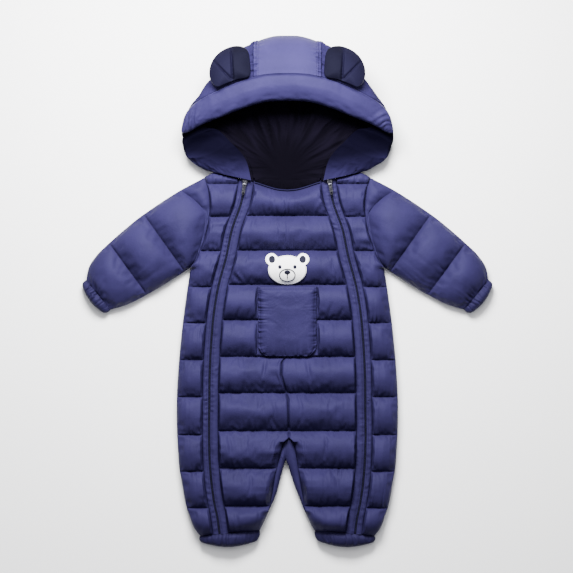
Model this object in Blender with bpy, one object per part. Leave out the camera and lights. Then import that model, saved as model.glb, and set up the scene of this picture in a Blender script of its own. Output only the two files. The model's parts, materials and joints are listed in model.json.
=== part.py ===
"""Baby snowsuit with a bear-eared hood, laid flat on its back.

+X is the viewer's right, +Y runs from the leg hems to the hood and +Z is up off the surface.
"Left" in a name is the -X side. The tables are in millimetres, and MM turns them into metres
where a mesh is made. The suit's walls are padded cloth: a front wall over a back wall, each with
a plain inside, the quilting raised in the outer points of the front.
"""
import math

import bmesh
import bpy
import numpy as np

MM = 0.001

# ---- driving dimensions, in millimetres -------------------------------------------------------
GAP = 0.3                 # between neighbouring pieces
BACK_TOP = 14.2           # the back wall's inside, facing up
FRONT_IN = 14.6           # the front wall's inside, facing down
SEAM_RISE = 4.4           # wall at a line of stitching
PUFF = 17.0               # how far a channel's crest stands above its stitching
EDGE_RISE = 1.2           # front wall at a side seam, on the garment's edge
SWELL_WIDTH = 15.0        # from a sewn edge to the full height of the padding
EDGE_WIDTH = 26.0         # from the garment's edge to the full height
CHANNEL_STOPS = (0.0, 0.1, 0.32, 0.64, 0.9)
PLACKET_IN = 12.6         # plain band between the zip and the centre panel
PLACKET_OUT = 8.8         # plain band between the zip and the side panel
ZIP_HALF = 1.7            # half the zip's width
ZIP_TOP = 18.2
PLACKET_HEIGHTS = (19.0, 21.8, 21.6, 18.6)   # from the panel's side to the zip's side
EDGE_CLEARANCE = 0.55     # body pieces stand in this far from the garment's outline
POCKET_HALF = 47.9
POCKET_TOP = 9.2
POCKET_BOTTOM = -102.8
POCKET_FLOOR = 24.4       # the pocket lies on padding pressed flat to just under this level
CROTCH_Y = -232.4         # where the centre panel parts into two legs
GUSSET_END_Y = -342.8     # where the gusset strips run out into the inner leg edges
HOOD_WALL = 9.0
HOOD_FLOOR = 11.0
LINING = 2.4
TAB_TILT = math.radians(9.0)   # each slider turned with its zip line

# ---- outlines: (y, x) pairs, x measured from the centre line, y rising -------------------------
SIDE_OUTLINE = ((-390.4, 139.8), (-384.0, 145.6), (-371.6, 152.8), (-358.8, 156.8), (-346.0, 161.4),
                (-333.2, 164.6), (-307.6, 168.8), (-282.0, 173.4), (-256.4, 175.4), (-230.8, 176.8),
                (-205.2, 177.6), (-166.8, 177.4), (-128.4, 175.4), (-90.0, 172.2), (-38.8, 166.6),
                (12.4, 159.4), (39.2, 155.0))
ZIP_LINE = ((-390.4, 108.0), (-364.8, 111.4), (-333.2, 117.6), (-285.2, 123.2), (-237.2, 125.1),
            (-189.2, 124.8), (-133.2, 124.2), (-77.2, 121.3), (-32.4, 117.1), (10.8, 109.6),
            (55.6, 97.6), (98.8, 88.5), (145.2, 72.8), (174.0, 68.0), (184.0, 66.5))
ARMHOLE = ((39.2, 154.7), (50.8, 146.2), (66.0, 139.6), (88.0, 131.6), (113.2, 126.1),
           (142.0, 123.7), (164.0, 126.6), (183.2, 131.7))
# inner leg edges, signed x, from the hem up to the crotch
INNER_LEFT = ((-382.0, -44.2), (-371.6, -38.9), (-358.8, -33.1), (-346.0, -27.7), (-333.2, -21.3),
              (-320.4, -16.5), (-307.6, -13.3), (-294.8, -10.1), (-282.0, -6.9), (-269.0, -3.0))
INNER_RIGHT = ((-382.0, 43.2), (-371.6, 37.1), (-358.8, 31.5), (-346.0, 25.6), (-333.2, 20.8),
               (-320.4, 15.5), (-307.6, 10.7), (-294.8, 6.2), (-282.0, 2.7), (-269.0, -2.0))
# the centre panel's inner edge along the gusset, signed x
NOTCH_LEFT = ((-382.0, -44.2), (-371.6, -38.9), (-358.8, -33.1), (-342.8, -28.2), (-320.4, -24.0),
              (-294.8, -20.0), (-275.6, -15.4), (-256.4, -10.1), (-238.8, -5.3), (CROTCH_Y, 2.7))
NOTCH_RIGHT = ((-382.0, 43.2), (-371.6, 37.1), (-358.8, 31.5), (-342.8, 27.4), (-320.4, 23.9),
               (-294.8, 19.4), (-275.6, 16.8), (-256.4, 13.3), (-238.8, 10.1), (CROTCH_Y, 2.7))
CENTRE_FOLD = ((CROTCH_Y, 2.7), (-222.0, 2.4), (-173.2, 1.1), (-158.8, -2.1), (-133.2, -9.3),
               (-113.2, -8.6), (-100.0, 0.0), (184.0, 0.0))

# ---- cross seams, as y over |x| ---------------------------------------------------------------
FRONT_NECK = ((0.0, 160.4), (16.0, 162.0), (32.0, 166.4), (48.0, 171.8), (60.0, 174.6))
NECK_SEAM = ((0.0, 176.9), (57.6, 176.9), (117.6, 190.3), (125.0, 187.0), (132.0, 183.3))
NECK_BENDS = (57.6, 117.6)
HEM = ((44.0, -381.6), (140.0, -390.2))
CENTRE_SEAMS = (121.5, 66.0, 11.3, -45.0, -103.8, -161.8, -222.5, -282.3, -342.8)
SIDE_SEAMS = (172.4, 120.0, 65.2, 7.6, -50.0, -109.2, -168.4, -229.2, -287.6, -346.0)
YOKE_PUFF = 0.35

# ---- hood: half outlines, x from the centre line ----------------------------------------------
BRIM_COLUMNS = ("seam_x", "seam_y", "seam_z", "mouth_x", "mouth_y", "mouth_z", "thick", "crest")
BRIM_ROWS = (
    (0.0, 344.8, 85.5, 0.0, 302.0, 72.0, 15.0, 7.5),
    (35.2, 343.0, 85.0, 35.2, 299.6, 72.0, 15.0, 7.5),
    (70.4, 334.0, 81.5, 72.0, 289.2, 69.5, 15.0, 7.5),
    (105.6, 320.4, 76.0, 102.4, 277.2, 65.0, 14.0, 7.0),
    (137.6, 304.4, 68.5, 126.4, 268.4, 59.0, 11.0, 6.5),
    (158.4, 286.0, 61.0, 147.0, 258.6, 54.0, 8.0, 5.5),
    (170.4, 260.6, 53.0, 165.8, 247.4, 50.0, 5.0, 2.5),
)
CROWN_HALF = 52.8
CROWN_COLUMNS = ("x", "edge_y", "edge_z", "rim_y", "rim_z")
CROWN_ROWS = (
    (0.0, 344.8, 85.5, 408.4, 40.0),
    (18.0, 344.4, 85.3, 407.6, 40.0),
    (36.0, 342.8, 84.9, 403.2, 40.0),
    (CROWN_HALF, 339.2, 83.6, 396.9, 40.0),
)
SIDE_COLUMNS = ("edge_x", "edge_y", "edge_z", "rim_x", "rim_y", "rim_z", "floor_y", "lining_y")
SIDE_ROWS = (
    (CROWN_HALF, 339.2, 83.6, CROWN_HALF, 396.9, 40.0, 371.0, 306.0),
    (76.0, 332.6, 80.6, 75.2, 386.0, 40.0, 347.0, 298.0),
    (99.0, 323.8, 77.2, 99.2, 364.5, 39.0, 323.0, 290.0),
    (121.0, 313.6, 72.6, 121.6, 338.8, 38.0, 299.0, 280.0),
    (139.4, 304.2, 67.0, 142.4, 311.6, 37.0, 278.0, 268.0),
    (150.2, 297.0, 57.0, 152.6, 299.0, 36.5, 270.0, 260.0),
    (155.4, 287.6, 46.0, 158.4, 288.6, 35.0, 262.0, 252.0),
    (147.0, 273.0, 40.0, 165.6, 271.6, 33.0, 247.0, 240.0),
    (131.0, 262.0, 38.5, 168.6, 250.8, 31.0, 233.0, 229.0),
    (110.4, 257.2, 38.0, 167.6, 235.0, 29.0, 219.0, 218.0),
    (90.4, 238.0, 38.5, 161.6, 218.8, 27.0, 206.0, 207.0),
    (74.4, 222.0, 37.5, 149.6, 206.8, 25.0, 195.0, 196.0),
    (64.0, 204.4, 35.0, 134.4, 197.2, 23.0, 185.0, 186.0),
    (57.6, 177.4, 31.0, 117.4, 190.8, 21.0, 177.4, 177.4),
)

# ---- sleeves: left sleeve's edges by station, 0 armhole, 1 and 2 quilt seams, 3 cuff seam -------
SLEEVE_COLUMNS = ("station", "top_x", "top_y", "low_x", "low_y", "seam_z", "crest_z")
SLEEVE_ROWS = (
    (0.0, -131.9, 183.2, -154.9, 39.2, 20.0, 33.0),
    (0.42, -171.7, 162.3, -158.8, 36.8, 22.5, 38.0),
    (1.0, -229.9, 124.1, -164.5, 32.4, 24.0, 41.0),
    (1.5, -258.1, 101.9, -194.2, 13.2, 24.0, 41.0),
    (2.0, -285.3, 78.0, -224.6, -4.7, 23.0, 39.0),
    (2.4, -306.0, 57.6, -250.0, -17.9, 22.0, 36.0),
    (2.75, -318.4, 37.6, -269.6, -25.0, 21.0, 32.0),
    (3.0, -322.1, 19.1, -282.7, -28.6, 20.0, 26.0),
)
CAP_SEAM_START = 0.42
CAP_SEAM_END = 0.46
CUFF_COLUMNS = ("top_x", "top_y", "low_x", "low_y", "bow", "height")
SLEEVE_CUFF_ROWS = (
    (-322.4, 18.85, -283.0, -28.85, 0.0, 21.0),
    (-327.6, 14.6, -287.6, -33.0, 1.0, 24.0),
    (-328.4, 8.6, -293.2, -34.0, 2.0, 22.5),
    (-325.2, 0.8, -298.0, -31.8, 3.0, 18.0),
)
LEG_CUFF_ROWS = (
    (-139.6, -390.6, -44.4, -382.0, 0.0, 21.0),
    (-141.2, -395.4, -43.7, -389.0, 1.5, 25.0),
    (-138.4, -400.6, -47.6, -397.4, 4.0, 23.5),
    (-133.0, -403.0, -52.6, -400.6, 6.6, 18.0),
)

# ---- small pieces -----------------------------------------------------------------------------
EAR_OUTLINE = ((60.0, 340.5), (59.0, 362.0), (62.0, 380.0), (70.0, 387.6), (82.0, 389.4),
               (94.0, 386.6), (106.0, 380.2), (116.0, 370.0), (122.0, 357.0), (123.4, 343.6),
               (120.0, 331.6), (111.0, 323.4), (98.0, 328.2), (80.0, 335.0))
BEAR_HEAD = (0.0, 34.6, 30.6, 23.4)
BEAR_EAR = (25.0, 51.6, 10.0)
EAR_SEAT = 85.1           # underside of the ear where it is sewn in beside the crown
ZIP_TOP_Y = 172.0


def smooth(pairs):
    """A smooth function through (position, value) pairs, positions in either order."""
    ordered = sorted(pairs)
    at = np.array([pair[0] for pair in ordered], float)
    value = np.array([pair[1] for pair in ordered], float)
    slope = np.gradient(value, at)

    def curve(position):
        p = min(max(position, at[0]), at[-1])
        k = min(max(int(np.searchsorted(at, p)) - 1, 0), len(at) - 2)
        span = at[k + 1] - at[k]
        t = (p - at[k]) / span
        start = value[k] * (1 + 2 * t) * (1 - t) ** 2 + slope[k] * span * t * (1 - t) ** 2
        end = value[k + 1] * t * t * (3 - 2 * t) + slope[k + 1] * span * t * t * (t - 1)
        return float(start + end)

    return curve


def straight(pairs):
    """A function that runs straight between (position, value) pairs."""
    ordered = sorted(pairs)
    at = [pair[0] for pair in ordered]
    value = [pair[1] for pair in ordered]
    return lambda position: float(np.interp(position, at, value))


def table(columns, rows, by=None):
    """Functions of the row number, or of the column `by`, one for each named column."""
    position = [row[columns.index(by)] for row in rows] if by else range(len(rows))
    return {name: smooth([(at, row[k]) for at, row in zip(position, rows)])
            for k, name in enumerate(columns)}


side_outline = smooth(SIDE_OUTLINE)
zip_line = smooth(ZIP_LINE)
armhole = smooth(ARMHOLE)
inner_left = straight(INNER_LEFT)
inner_right = straight(INNER_RIGHT)
notch_left = straight(NOTCH_LEFT)
notch_right = straight(NOTCH_RIGHT)
centre_fold = straight(CENTRE_FOLD)
front_neck = smooth(FRONT_NECK)
neck_seam = straight(NECK_SEAM)
hem = straight(HEM)


def garment_edge(y):
    """Half width of the body: the side seam, and above the armpit the armhole."""
    return armhole(y) if y > ARMHOLE[0][0] else side_outline(y)


def mix(a, b, t):
    return a + (b - a) * t


# ---- building ---------------------------------------------------------------------------------
def cloth(name, colour, roughness, metallic=0.0):
    material = bpy.data.materials.new(name)
    material.use_nodes = True
    shader = material.node_tree.nodes["Principled BSDF"]
    shader.inputs["Base Color"].default_value = (*colour, 1.0)
    shader.inputs["Roughness"].default_value = roughness
    shader.inputs["Metallic"].default_value = metallic
    material.diffuse_color = (*colour, 1.0)
    return material


SHELL = (0.075, 0.073, 0.21)
LINING_DARK = (0.008, 0.008, 0.022)


def add_object(name, shape, colour, roughness=0.5, metallic=0.0):
    """Put a finished bmesh into the scene as one named object, its faces turned outward."""
    bmesh.ops.recalc_face_normals(shape, faces=shape.faces)
    mesh = bpy.data.meshes.new(name)
    shape.to_mesh(mesh)
    shape.free()
    mesh.materials.append(cloth(name, colour, roughness, metallic))
    item = bpy.data.objects.new(name, mesh)
    bpy.context.scene.collection.objects.link(item)
    return item


def merge_flat_faces(shape):
    """Join the faces that lie level at one height into single faces, then cut those in triangles."""
    levels = {}
    for face in shape.faces:
        heights = [vertex.co.z for vertex in face.verts]
        if max(heights) - min(heights) < 1e-7:
            levels.setdefault((round(heights[0], 5), face.normal.z > 0), []).append(face)
    merged = []
    for faces in levels.values():
        merged += bmesh.ops.dissolve_faces(shape, faces=faces, use_verts=False)["region"]
    whole = [face for face in merged if face.is_valid and len(face.verts) > 4]
    bmesh.ops.triangulate(shape, faces=whole, quad_method="BEAUTY", ngon_method="BEAUTY")


def wall(name, patches, colour=SHELL, roughness=0.5):
    """One closed wall from patches of (outer, inner) point grids, welded where they meet.

    Every edge that only one outer face uses gets a face across the wall's thickness.
    """
    shape = bmesh.new()
    found = {}
    pairs = []

    def corner(outer, inner):
        key = tuple(round(v, 3) for v in (*outer, *inner))
        if key not in found:
            found[key] = len(pairs)
            pairs.append((shape.verts.new([v * MM for v in outer]),
                          shape.verts.new([v * MM for v in inner])))
        return found[key]

    borders = {}
    for outer, inner in patches:
        index = [[corner(o, i) for o, i in zip(*rows)] for rows in zip(outer, inner)]
        for upper, lower in zip(index, index[1:]):
            for k in range(len(upper) - 1):
                loop = (upper[k], upper[k + 1], lower[k + 1], lower[k])
                loop = [c for n, c in enumerate(loop) if c != loop[n - 1]]
                if len(loop) < 3:
                    continue
                shape.faces.new([pairs[c][0] for c in loop])
                shape.faces.new([pairs[c][1] for c in reversed(loop)])
                for edge in zip(loop, loop[1:] + loop[:1]):
                    borders[frozenset(edge)] = borders.get(frozenset(edge), 0) + 1
    for edge, uses in borders.items():
        if uses == 1:
            a, b = edge
            shape.faces.new([pairs[b][0], pairs[a][0], pairs[a][1], pairs[b][1]])
    shape.normal_update()
    merge_flat_faces(shape)
    add_object(name, shape, colour, roughness)


def mirrored(grid, sign):
    return [[(sign * x, y, z) for x, y, z in row] for row in grid]


# ---- padding ----------------------------------------------------------------------------------
def pillow(t):
    """Height of a stuffed channel from one seam, t 0, to the next, t 1."""
    return max(math.sin(math.pi * t), 0.0) ** 0.6


def swell(distance, width=SWELL_WIDTH):
    """Rise of the padding away from a sewn edge."""
    return math.sin(min(max(distance / width, 0.0), 1.0) * math.pi / 2) ** 0.7


def round_off(distance, width=EDGE_WIDTH):
    """Rise of a wall that rolls over the garment's edge."""
    t = min(max(distance / width, 0.0), 1.0)
    return math.sqrt(max(1 - (1 - t) ** 2, 0.0))


def front_height(channel_t, from_seam, from_edge, puff=1.0):
    """Front wall's outer height: channel, distance from a sewn side and from the garment's edge."""
    full = FRONT_IN + SEAM_RISE + PUFF * puff * pillow(channel_t) * swell(from_seam)
    low = FRONT_IN + EDGE_RISE
    return low + (full - low) * round_off(from_edge)


def channel_rows(seams, first_line, last_line, extra):
    """(line over x, channel number, place in channel) for every row from top to bottom."""
    lines = [first_line] + [lambda x, y=y: y for y in seams] + [last_line]
    rows = []
    for number, (upper, lower) in enumerate(zip(lines, lines[1:])):
        for t in extra.get(number, CHANNEL_STOPS):
            rows.append((lambda x, u=upper, l=lower, t=t: mix(u(x), l(x), t), number, t))
    rows.append((last_line, len(lines) - 2, 1.0))
    return rows


def along(line, start, stop, fractions):
    """Plan points where a line, y over |x|, crosses from edge `start` to edge `stop`, x over y."""
    ends = []
    for edge in (start, stop):
        y = line(60.0)
        for _ in range(6):
            y = line(abs(edge(y)))
        ends.append(edge(y))
    places = [mix(*ends, f) for f in fractions]
    return [(x, line(abs(x))) for x in places]


def flat_under(grid, level=FRONT_IN):
    return [[(x, y, level) for x, y, _ in row] for row in grid]


# ---- front panels -----------------------------------------------------------------------------
def centre_edge(y):
    return zip_line(y) - ZIP_HALF - PLACKET_IN - GAP


def side_start(y):
    return zip_line(y) + ZIP_HALF + PLACKET_OUT + GAP


CENTRE_ROWS = channel_rows(
    CENTRE_SEAMS, lambda x: front_neck(x), lambda x: hem(x),
    {7: (0.0, 0.166, 0.273, 0.567, 0.888), 8: (0.0, 0.206, 0.42, 0.63, 0.87)})


def split_fraction(y):
    """Where a column runs just outside the pocket."""
    beside_pocket = POCKET_BOTTOM - 2 < y < POCKET_TOP + 3
    return (POCKET_HALF + 2.4) / centre_edge(y) if beside_pocket else 0.48


def centre_half(sign, inner_edge):
    """Outer points of the centre panel from its middle to one zip."""
    grid = []
    for line, channel, t in CENTRE_ROWS:
        level = line(40.0)
        split = split_fraction(level)
        fractions = ([split * f for f in (0.0, 0.16, 0.42, 0.72, 1.0)]
                     + [mix(split, 1.0, f) for f in (0.3, 0.6, 0.83, 0.95, 1.0)])
        open_leg = level < CROTCH_Y - 1
        start = inner_edge if open_leg else centre_fold
        plan = along(line, start, lambda y: sign * centre_edge(y), fractions)
        below_gusset = min(max((GUSSET_END_Y - level) / 12.0, 0.0), 1.0)
        row = []
        for x, y in plan:
            from_middle = abs(x - plan[0][0])
            from_seam = abs(plan[-1][0] - x)
            if open_leg and below_gusset == 0:
                from_seam = min(from_seam, from_middle)
            from_edge = mix(EDGE_WIDTH, from_middle, below_gusset)
            z = front_height(t, from_seam, from_edge)
            if channel in (3, 4) and abs(x) < POCKET_HALF + 3:
                z = min(z, POCKET_FLOOR - GAP - 0.1)
            if channel in (5, 6) and x == plan[0][0]:
                z -= 3.5 * pillow(t)
            row.append((x, y, z))
        grid.append(row)
    return grid


def front_panel():
    left = centre_half(-1, notch_left)
    right = centre_half(1, notch_right)
    wall("front_panel", [(left, flat_under(left)), (right, flat_under(right))])
    return left, right


SIDE_ROWS_OF_PANEL = channel_rows(
    SIDE_SEAMS, lambda x: neck_seam(x) - GAP, lambda x: hem(x),
    {3: (0.0, 0.1, 0.28, 0.452, 0.7, 0.9), 0: (0.0, 0.4)})


def side_panel(name, sign):
    """Front side panel from the zip to the side seam, its top the neck seam, with a yoke seam."""
    grid = []
    for line, channel, t in SIDE_ROWS_OF_PANEL:
        plan = along(line, side_start, lambda y: garment_edge(y) - EDGE_CLEARANCE,
                     (0.0, 0.07, 0.22, 0.45, 0.745, 0.88, 0.97, 1.0))
        row = []
        for x, y in plan:
            from_edge = plan[-1][0] - x
            sewn = y > ARMHOLE[0][0]
            from_seam = min(x - plan[0][0], from_edge if sewn else EDGE_WIDTH)
            puff = YOKE_PUFF if channel == 0 else 0.8
            z = front_height(t, from_seam, EDGE_WIDTH if sewn else from_edge, puff)
            row.append((x, y, z))
        grid.append(row)
    grid = mirrored(grid, sign)
    wall(name, [(grid, flat_under(grid))])


def placket(name, sign, inside, outside, heights):
    """Plain band beside the zip between two lines, x over y."""
    grid = []
    for f in np.linspace(0.0, 1.0, 34):
        def line(x, f=f):
            return mix(neck_seam(x) - GAP, hem(x), f)
        plan = along(line, inside, outside, (0.0, 0.25, 0.7, 1.0))
        grid.append([(x, y, z) for (x, y), z in zip(plan, heights)])
    grid = mirrored(grid, sign)
    wall(name, [(grid, flat_under(grid))])


def zip_bands(side, sign):
    placket("placket_inner_" + side, sign, lambda y: zip_line(y) - ZIP_HALF - PLACKET_IN,
            lambda y: zip_line(y) - ZIP_HALF - GAP, PLACKET_HEIGHTS)
    placket("placket_outer_" + side, sign, lambda y: zip_line(y) + ZIP_HALF + GAP,
            lambda y: zip_line(y) + ZIP_HALF + PLACKET_OUT, PLACKET_HEIGHTS[::-1])
    grid = []
    for f in np.linspace(0.0, 1.0, 30):
        def line(x, f=f):
            return mix(neck_seam(x) - 2.0, hem(x), f)
        plan = along(line, lambda y: zip_line(y) - ZIP_HALF, lambda y: zip_line(y) + ZIP_HALF, (0.0, 1.0))
        grid.append([(x, y, ZIP_TOP) for x, y in plan])
    grid = mirrored(grid, sign)
    wall("zip_" + side, [(grid, flat_under(grid))], (0.01, 0.01, 0.02))


def gusset(left, right):
    """Strip round the crotch: its outer side is the centre panel's edge moved off by the gap."""
    def arm(half, inner_edge, sign):
        rows = []
        for row in half:
            x, y, _ = row[0]
            if y > CROTCH_Y + 0.5 or y < GUSSET_END_Y - 0.5:
                continue
            edge_y = y if y < -274.0 else mix(-269.6, -274.0, (CROTCH_Y - y) / (CROTCH_Y + 274.0))
            apex = y > CROTCH_Y - 1
            seam = (x, y - 0.6) if apex else (x - sign * GAP, y)
            edge = (-2.4, -268.6) if apex else (inner_edge(edge_y), edge_y)
            width = math.dist(seam, edge)
            points = []
            for f in (0.0, 0.3, 0.65, 1.0):
                px, py = (mix(a, b, f) for a, b in zip(seam, edge))
                padded = 4.0 * pillow(f) * min(width / 14.0, 1.0)
                points.append((px, py, mix(19.0, FRONT_IN + EDGE_RISE, f) + padded))
            rows.append(points)
        return rows

    left_rows = arm(left, inner_left, -1)
    right_rows = arm(right, inner_right, 1)
    grid = left_rows[::-1] + right_rows[1:]
    wall("crotch_gusset", [(grid, flat_under(grid))])


# ---- back -------------------------------------------------------------------------------------
def back_levels(line, start, stop, open_start, open_stop):
    """A row of the back wall: rounded up at the garment's edges, level where it rests."""
    (x0, y0), (x1, y1) = along(line, start, stop, (0.0, 1.0))
    inset = [(0.0, 10.0), (2.2, 4.2), (8.5, 0.0)]
    flat = [(0.0, 0.0), (1.5, 0.0), (3.5, 0.0)]
    inward = math.copysign(1.0, x1 - x0)
    row = [(x0 + inward * d, z) for d, z in (inset if open_start else flat)]
    bends = sorted((math.copysign(x, x0 + x1) for x in NECK_BENDS), reverse=inward < 0)
    row += [(x, 0.0) for x in bends]
    row += [(x1 - inward * d, z) for d, z in reversed(inset if open_stop else flat)]
    return [(x, line(abs(x)), z) for x, z in row]


def back_panel():
    """Whole back from the neck seam to both leg hems, one flat-bottomed wall."""
    def edge(sign):
        return lambda y: sign * (garment_edge(y) - EDGE_CLEARANCE)

    def middle(y):
        return -2.0

    armpit = ARMHOLE[0][0]
    crotch = INNER_LEFT[-1][0]
    levels = [*np.linspace(0.0, 1.0, 9)]
    rows = [lambda x, t=t: mix(neck_seam(x) - GAP, armpit, t) for t in levels[:-1]]
    rows += [lambda x, y=y: y for y in np.linspace(armpit, crotch, 17)]
    legs = [lambda x, t=t: mix(crotch, hem(x), t) for t in np.linspace(0.0, 1.0, 9)[1:]]
    left = []
    right = []
    for line in rows:
        sewn = line(100.0) > armpit + 0.5
        left.append(back_levels(line, edge(-1), middle, not sewn, False))
        right.append(back_levels(line, middle, edge(1), False, not sewn))
    for line in legs:
        left.append(back_levels(line, edge(-1), inner_left, True, True))
        right.append(back_levels(line, inner_right, edge(1), True, True))
    wall("back_panel", [(left, flat_under(left, BACK_TOP)), (right, flat_under(right, BACK_TOP))])


# ---- tubes lying flat: sleeves and cuffs -------------------------------------------------------
def flat_ring(plan, heights, foot=8.0, wall_inset=9.0, hollow=(14.0, 15.2)):
    """A closed ring round a flattened tube, as its outer points and the hollow's points.

    `plan` runs across the top side from edge to edge, with one outer height for each point.
    """
    first, last = np.array(plan[0]), np.array(plan[-1])
    across = (last - first) / np.linalg.norm(last - first)
    length = float(np.linalg.norm(last - first))
    low, high = hollow
    outer = [(*point, z) for point, z in zip(plan, heights)]
    outer += [(*(last - across * d), z) for d, z in ((2.0, 4.0), (foot, 0.0))]
    outer += [(*(first + across * d), z) for d, z in ((foot, 0.0), (2.0, 4.0))]
    squeeze = 1 - 2 * wall_inset / length
    centre = (first + last) / 2
    inner = []
    for k, point in enumerate(plan):
        edge = k in (0, len(plan) - 1)
        inner.append((*(centre + (np.array(point) - centre) * squeeze),
                      (low + high) / 2 if edge else high))
    inner += [(*(last - across * d), low) for d in (wall_inset + 1.5, wall_inset + 5.0)]
    inner += [(*(first + across * d), low) for d in (wall_inset + 5.0, wall_inset + 1.5)]
    return outer + outer[:1], inner + inner[:1]


def mirrored_rings(rings, sign):
    outer = [[(-sign * x, y, z) for x, y, z in ring[0]] for ring in rings]
    inner = [[(-sign * x, y, z) for x, y, z in ring[1]] for ring in rings]
    return outer, inner


sleeve_at = table(SLEEVE_COLUMNS, SLEEVE_ROWS, by="station")


def armhole_bow(q):
    """How far the armhole lies off its own chord, towards the middle of the garment."""
    top, low = SLEEVE_ROWS[0][1:3], SLEEVE_ROWS[0][3:5]
    y = mix(top[1], low[1], q)
    return -armhole(y) - 0.25 - mix(top[0], low[0], q)


def cap_seam(q):
    """Station of the sleeve cap's quilt seam, which runs out at the armhole."""
    return max(0.07, CAP_SEAM_START * (1 - q / CAP_SEAM_END))


def sleeve_ring(place):
    """Ring number and place in its channel, as (channel, t), turned into points."""
    channel, t = place
    plan = []
    heights = []
    for q in (0.0, 0.04, 0.12, 0.24, 0.36, 0.48, 0.6, 0.72, 0.84, 0.94, 1.0):
        cap = cap_seam(q)
        starts = (0.0, cap, 1.0, 2.0, 3.0)
        s = mix(starts[channel], starts[channel + 1], t)
        row = {name: curve(s) for name, curve in sleeve_at.items()}
        bow = armhole_bow(q) * max(1 - s, 0.0) ** 1.3
        x = mix(row["top_x"], row["low_x"], q) + bow
        y = mix(row["top_y"], row["low_y"], q)
        width = (starts[channel + 1] - starts[channel]) * 55.0
        puff = pillow(t) * min(width / 24.0, 1.0)
        level = mix(row["seam_z"], row["crest_z"], puff)
        round_edge = math.sqrt(math.sin(math.pi * min(max(q, 0.0), 1.0)))
        plan.append((x, y))
        heights.append(mix(12.0, level, round_edge))
    return flat_ring(plan, heights)


def sleeve(name, sign):
    places = [(0, t) for t in (0.0, 0.35, 0.7)]
    places += [(channel, t) for channel in (1, 2, 3) for t in CHANNEL_STOPS]
    places.append((3, 1.0))
    outer, inner = mirrored_rings([sleeve_ring(place) for place in places], sign)
    wall(name, [(outer, inner)])


def cuff(name, sign, rows, bow_direction, waves):
    """Gathered elastic tube: upright pleats all across its top side."""
    rings = []
    points = 2 * waves + 1
    for values in rows:
        row = dict(zip(CUFF_COLUMNS, values))
        plan = []
        heights = []
        for k in range(points):
            q = k / (points - 1)
            lift = math.sin(math.pi * q)
            plan.append((mix(row["top_x"], row["low_x"], q) + bow_direction[0] * row["bow"] * lift,
                         mix(row["top_y"], row["low_y"], q) + bow_direction[1] * row["bow"] * lift))
            pleat = 0.9 * (-1) ** k * min(lift * 3, 1.0)
            heights.append(mix(11.0, row["height"], math.sqrt(lift)) + pleat)
        rings.append(flat_ring(plan, heights, foot=7.0, wall_inset=8.0, hollow=(6.5, 14.5)))
    outer, inner = mirrored_rings(rings, sign)
    wall(name, [(outer, inner)])


# ---- hood -------------------------------------------------------------------------------------
brim_at = table(BRIM_COLUMNS, BRIM_ROWS)
crown_at = table(CROWN_COLUMNS, CROWN_ROWS, by="x")
hood_side_at = table(SIDE_COLUMNS, SIDE_ROWS)
NECK_Y = 177.4
BRIM_GAP = 0.4
STEEP_REACH = 24.0        # where edge and rim are nearer than this the wall is steep, and
STEEP_SHIFT = 1.9         # the lining's edge stands further in from it
UNDER_BRIM = 6.0          # how much lower the lining's top edge sits where the brim covers it
# a layer of the bowl: (in from the skin at the rim, floor's height, in at the top edge, drop there)
SKIN = (0.0, 0.0, 0.0, 0.0)
WALL_INSIDE = (HOOD_WALL, HOOD_FLOOR, 0.0, HOOD_WALL)
LINING_BACK = (HOOD_WALL + 4.0, HOOD_FLOOR + 0.4, 3.4, HOOD_WALL + 1.0)
LINING_FACE = (HOOD_WALL + 4.0 + LINING, HOOD_FLOOR + 0.4 + LINING, 4.6, HOOD_WALL + 1.0 + LINING)


def hood_arc(edge, edge_z, rim, rim_z, foot, inset, layer):
    """A bowl's section: from its top edge over the rim and down to the floor."""
    thick, floor, edge_in, drop = layer
    edge, rim, foot = (np.array(p, float) for p in (edge, rim, foot))
    inward = (foot - rim) / np.linalg.norm(foot - rim)
    rim_in = rim + inward * thick
    steep = max(1 - math.dist(edge, rim) / STEEP_REACH, 0.0)
    edge = edge + inward * edge_in * (1 + STEEP_SHIFT * steep)
    under_brim = min(max((edge_z - 46.0) / 20.0, 0.0), 1.0) if edge_in else 0.0
    top = edge_z - drop - UNDER_BRIM * under_brim
    if thick:
        rim_z = min(rim_z, (top + floor) / 2 + 2.0)
    points = []
    for angle in (0.0, 22.0, 45.0, 67.0, 90.0):
        a = math.radians(angle)
        points.append((*mix(edge, rim_in, math.sin(a)), mix(rim_z, top, math.cos(a))))
    for angle in (30.0, 60.0, 90.0):
        a = math.radians(angle)
        points.append((*(rim_in + inward * (inset - min(thick, HOOD_WALL)) * (1 - math.cos(a))),
                       mix(rim_z, floor, math.sin(a))))
    return points


def crown_section(x, layer, foot):
    at = {name: curve(abs(x)) for name, curve in crown_at.items()}
    points = hood_arc((x, at["edge_y"] + BRIM_GAP), at["edge_z"], (x, at["rim_y"]), at["rim_z"],
                      (x, NECK_Y), 24.0, layer)
    return points + [(*foot, layer[1])]


def side_section(row, layer, foot=None):
    """Section of the hood's side at a row number of its table, on the +X side."""
    at = {name: curve(row) for name, curve in hood_side_at.items()}
    seam = CROWN_HALF + GAP
    edge = (max(at["edge_x"], seam), at["edge_y"] + BRIM_GAP)
    points = hood_arc(edge, at["edge_z"], (max(at["rim_x"], seam), at["rim_y"]), at["rim_z"],
                      (seam, at["floor_y"]), 20.0, layer)
    end = foot if foot else (seam, at["floor_y"])
    return points + [(*end, layer[1])]


def hood_crown():
    places = np.linspace(-CROWN_HALF, CROWN_HALF, 9)
    outer = [crown_section(x, SKIN, (x, NECK_Y)) for x in places]
    inner = [crown_section(x, WALL_INSIDE, (x, NECK_Y)) for x in places]
    wall("hood_crown", [(outer, inner)])


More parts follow.
